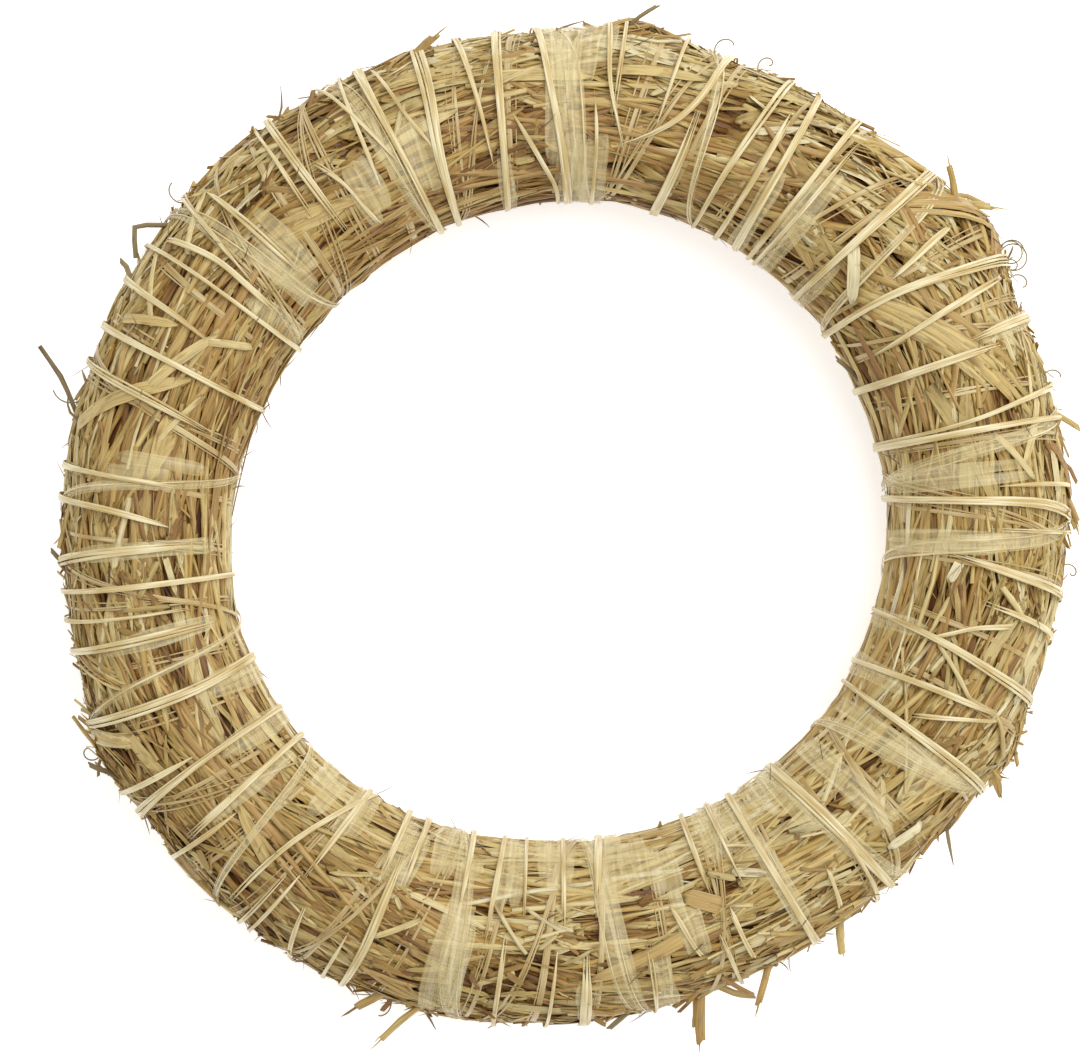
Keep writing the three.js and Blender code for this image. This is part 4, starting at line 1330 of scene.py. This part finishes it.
def laid_over():
    """Shreds, bunches and single straws that lie over the rest."""
    rng = np.random.default_rng(37)
    straws = Straws()
    for kind, width, tone, *places in SHREDS:
        master, flat = KINDS[kind]
        path = through([on_bundle(*np.array(place, float)) for place in places])
        straws.lay_one(master, path, width, width * flat, tone)
    for count, kind, widths, tone, start, end, heights, spread in BUNCHES:
        start = np.array(start) + rng.normal(0, 1, (count, 2)) * np.array(spread) * 0.6
        end = np.array(end) + rng.normal(0, 1, (count, 2)) * np.array(spread) * 0.6
        end = end + (start - end) * rng.uniform(-0.1, 0.35, (count, 1))
        path, up = between(start, end, np.array(heights) + rng.uniform(-0.6, 0.4, (count, 1)))
        width = rng.uniform(*widths, count)
        master, flat = KINDS[kind]
        tones = np.clip(tone + rng.normal(0, 0.13, count), 0, 1)
        shades = rng.uniform(0.86, 1, count)
        straws.lay(master, path, up, width, width * flat, tones, shades, rng.normal(0, 0.3, count))
    for kind, width, tone, start, end, height in LAID_STRAWS:
        path, up = between(np.array([start], float), np.array([end], float), np.full((1, 2), height))
        master, flat = KINDS[kind]
        straws.lay_one(master, path[0], width, width * flat, tone, up=up[0])
    return straws.piece("straw_laid_over", STALK)


# Hairs that curl off the bundle: where, the size of the curl, its turns and how far it opens.
CURLS = (
    (30.6, 0, 4.0, 1.15, 0.4), (31.2, 2, 3.4, 1.6, 1.0), (30.0, 4, 1.7, 1.3, 2.0), (66, 8, 1.8, 0.9, 3.0),
    (28, -4, 2.2, 0.8, 2.5), (139, 5, 2.2, 0.6, 3.0), (71, 20, 2.6, 0.7, 2.0), (355, 5, 1.6, 0.9, 3.0),
    (250, 2, 1.6, 0.6, 3.5), (17, 2, 1.4, 0.7, 3.0), (206, 2, 2.0, 0.8, 2.0), (165, 4, 2.6, 0.5, 4.0),
)


STRAY_COUNT = 480
STRAY_LOWEST = 0.3
CURL_WIDTH, CURL_THICKNESS, CURL_TONE = 0.56, 0.45, 0.8


def stray_fibres():
    """Hairs that stand off the bundle all round, and a few that curl."""
    rng = np.random.default_rng(41)
    straws = Straws()
    along, around = spread_over_ring(rng, STRAY_COUNT)
    heading, rise = either_way(rng, STRAY_COUNT)
    path, up = springing(rng, along, around, heading, rise, 0.4, (3, 11), (-1, 0.6), 0.2, 0.6)
    path[..., 2] = np.maximum(path[..., 2], STRAY_LOWEST)
    width = rng.uniform(0.25, 0.55, STRAY_COUNT)
    tone, shade = rng.uniform(0, 1, STRAY_COUNT), rng.uniform(0.8, 1, STRAY_COUNT)
    straws.lay(hair, path, up, width, width * 0.8, tone, shade)
    t = np.linspace(0, 1, CURL_SEGMENTS + 1)
    for at, where, size, turns, opening in CURLS:
        turn = t * turns * math.tau
        out, forward = outwards(float(at), float(where)), anticlockwise(np.float64(at))
        off = size * (1 - np.cos(turn)) + opening * t
        path = on_bundle(float(at), float(where), 0.0) + np.outer(off, out)
        path = path + np.outer(size * np.sin(turn), forward)
        straws.lay_one(curl, path, CURL_WIDTH, CURL_THICKNESS, CURL_TONE)
    return straws.piece("straw_stray_fibres", WEATHERED)


# ---------------------------------------------------------------- making it all

core = straw_core()
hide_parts("straw_bundle")
for layer in straw_layers():
    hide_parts("straw_bundle")

for ends in (frayed_tufts(), laid_over(), stray_fibres()):
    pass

first_thread = thread_piece("binding_thread_winding", thread_route, THREAD_TURNS, 5, FIRST_THREAD_HEIGHT)
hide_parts("binding_thread")
second_thread = thread_piece("binding_second_thread", second_thread_route, WIDE_TURNS, 23,
                             SECOND_THREAD_HEIGHT)
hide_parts("second_thread")
band = film_piece()
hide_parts("binding_film")
film_sheets()
for threads in (film_creases(), overlaid_threads()):
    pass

stalk_rng = np.random.default_rng(53)
for node in LOOSE_STALKS:
    stalk = loose_stalk(node, stalk_rng)
    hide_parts(node)

# ---------------------------------------------------------------- floor, light and camera


def floor():
    """White paper, which also shines a little by itself, as on a light table."""
    deselect()
    bpy.ops.mesh.primitive_plane_add(size=6, location=(0, 0, 0))
    obj = bpy.context.object
    obj.name = "studio_floor"
    material = new_material("white_studio_paper")
    shader = add_node(material, "ShaderNodeBsdfPrincipled", in_Base_Color=rgb("#fafafa"), in_Roughness=0.9,
                      in_Emission_Color=rgb("#ffffff"), in_Emission_Strength=0.5)
    add_node(material, "ShaderNodeOutputMaterial", [("Surface", shader, 0)])
    obj.data.materials.append(material)


def area_light(name, place, size, power):
    """A round light that faces the ring's middle."""
    data = bpy.data.lights.new(name, "AREA")
    data.shape = "DISK"
    data.size = size
    data.energy = power
    obj = bpy.data.objects.new(name, data)
    bpy.context.scene.collection.objects.link(obj)
    obj.location = place
    x, y, z = place
    obj.rotation_euler = (math.atan2(math.hypot(x, y), z), 0, math.atan2(-y, -x) - math.pi / 2)


def studio():
    floor()
    area_light("key_softbox", place=(0.55, 0.6, 1.3), size=1.5, power=16.5)
    area_light("fill_softbox", place=(0.4, -0.8, 1.4), size=1.6, power=2)
    world = bpy.data.worlds.new("studio")
    bpy.context.scene.world = world
    world.use_nodes = True
    background = world.node_tree.nodes["Background"]
    background.inputs["Color"].default_value = (1, 1, 1, 1)
    background.inputs["Strength"].default_value = 0.62
    bpy.context.scene.view_settings.view_transform = "Standard"


VIEW_WIDTH = 0.3257  # what the picture's width takes in at the height of the ring's middle
VIEW_CENTRE = (-0.006, -0.0005)


def camera():
    data = bpy.data.cameras.new("camera")
    data.lens = 100
    obj = bpy.data.objects.new("camera", data)
    bpy.context.scene.collection.objects.link(obj)
    distance = VIEW_WIDTH * data.lens / data.sensor_width
    obj.location = (*VIEW_CENTRE, CENTRE_HEIGHT * MM + distance)
    bpy.context.scene.camera = obj


studio()
camera()
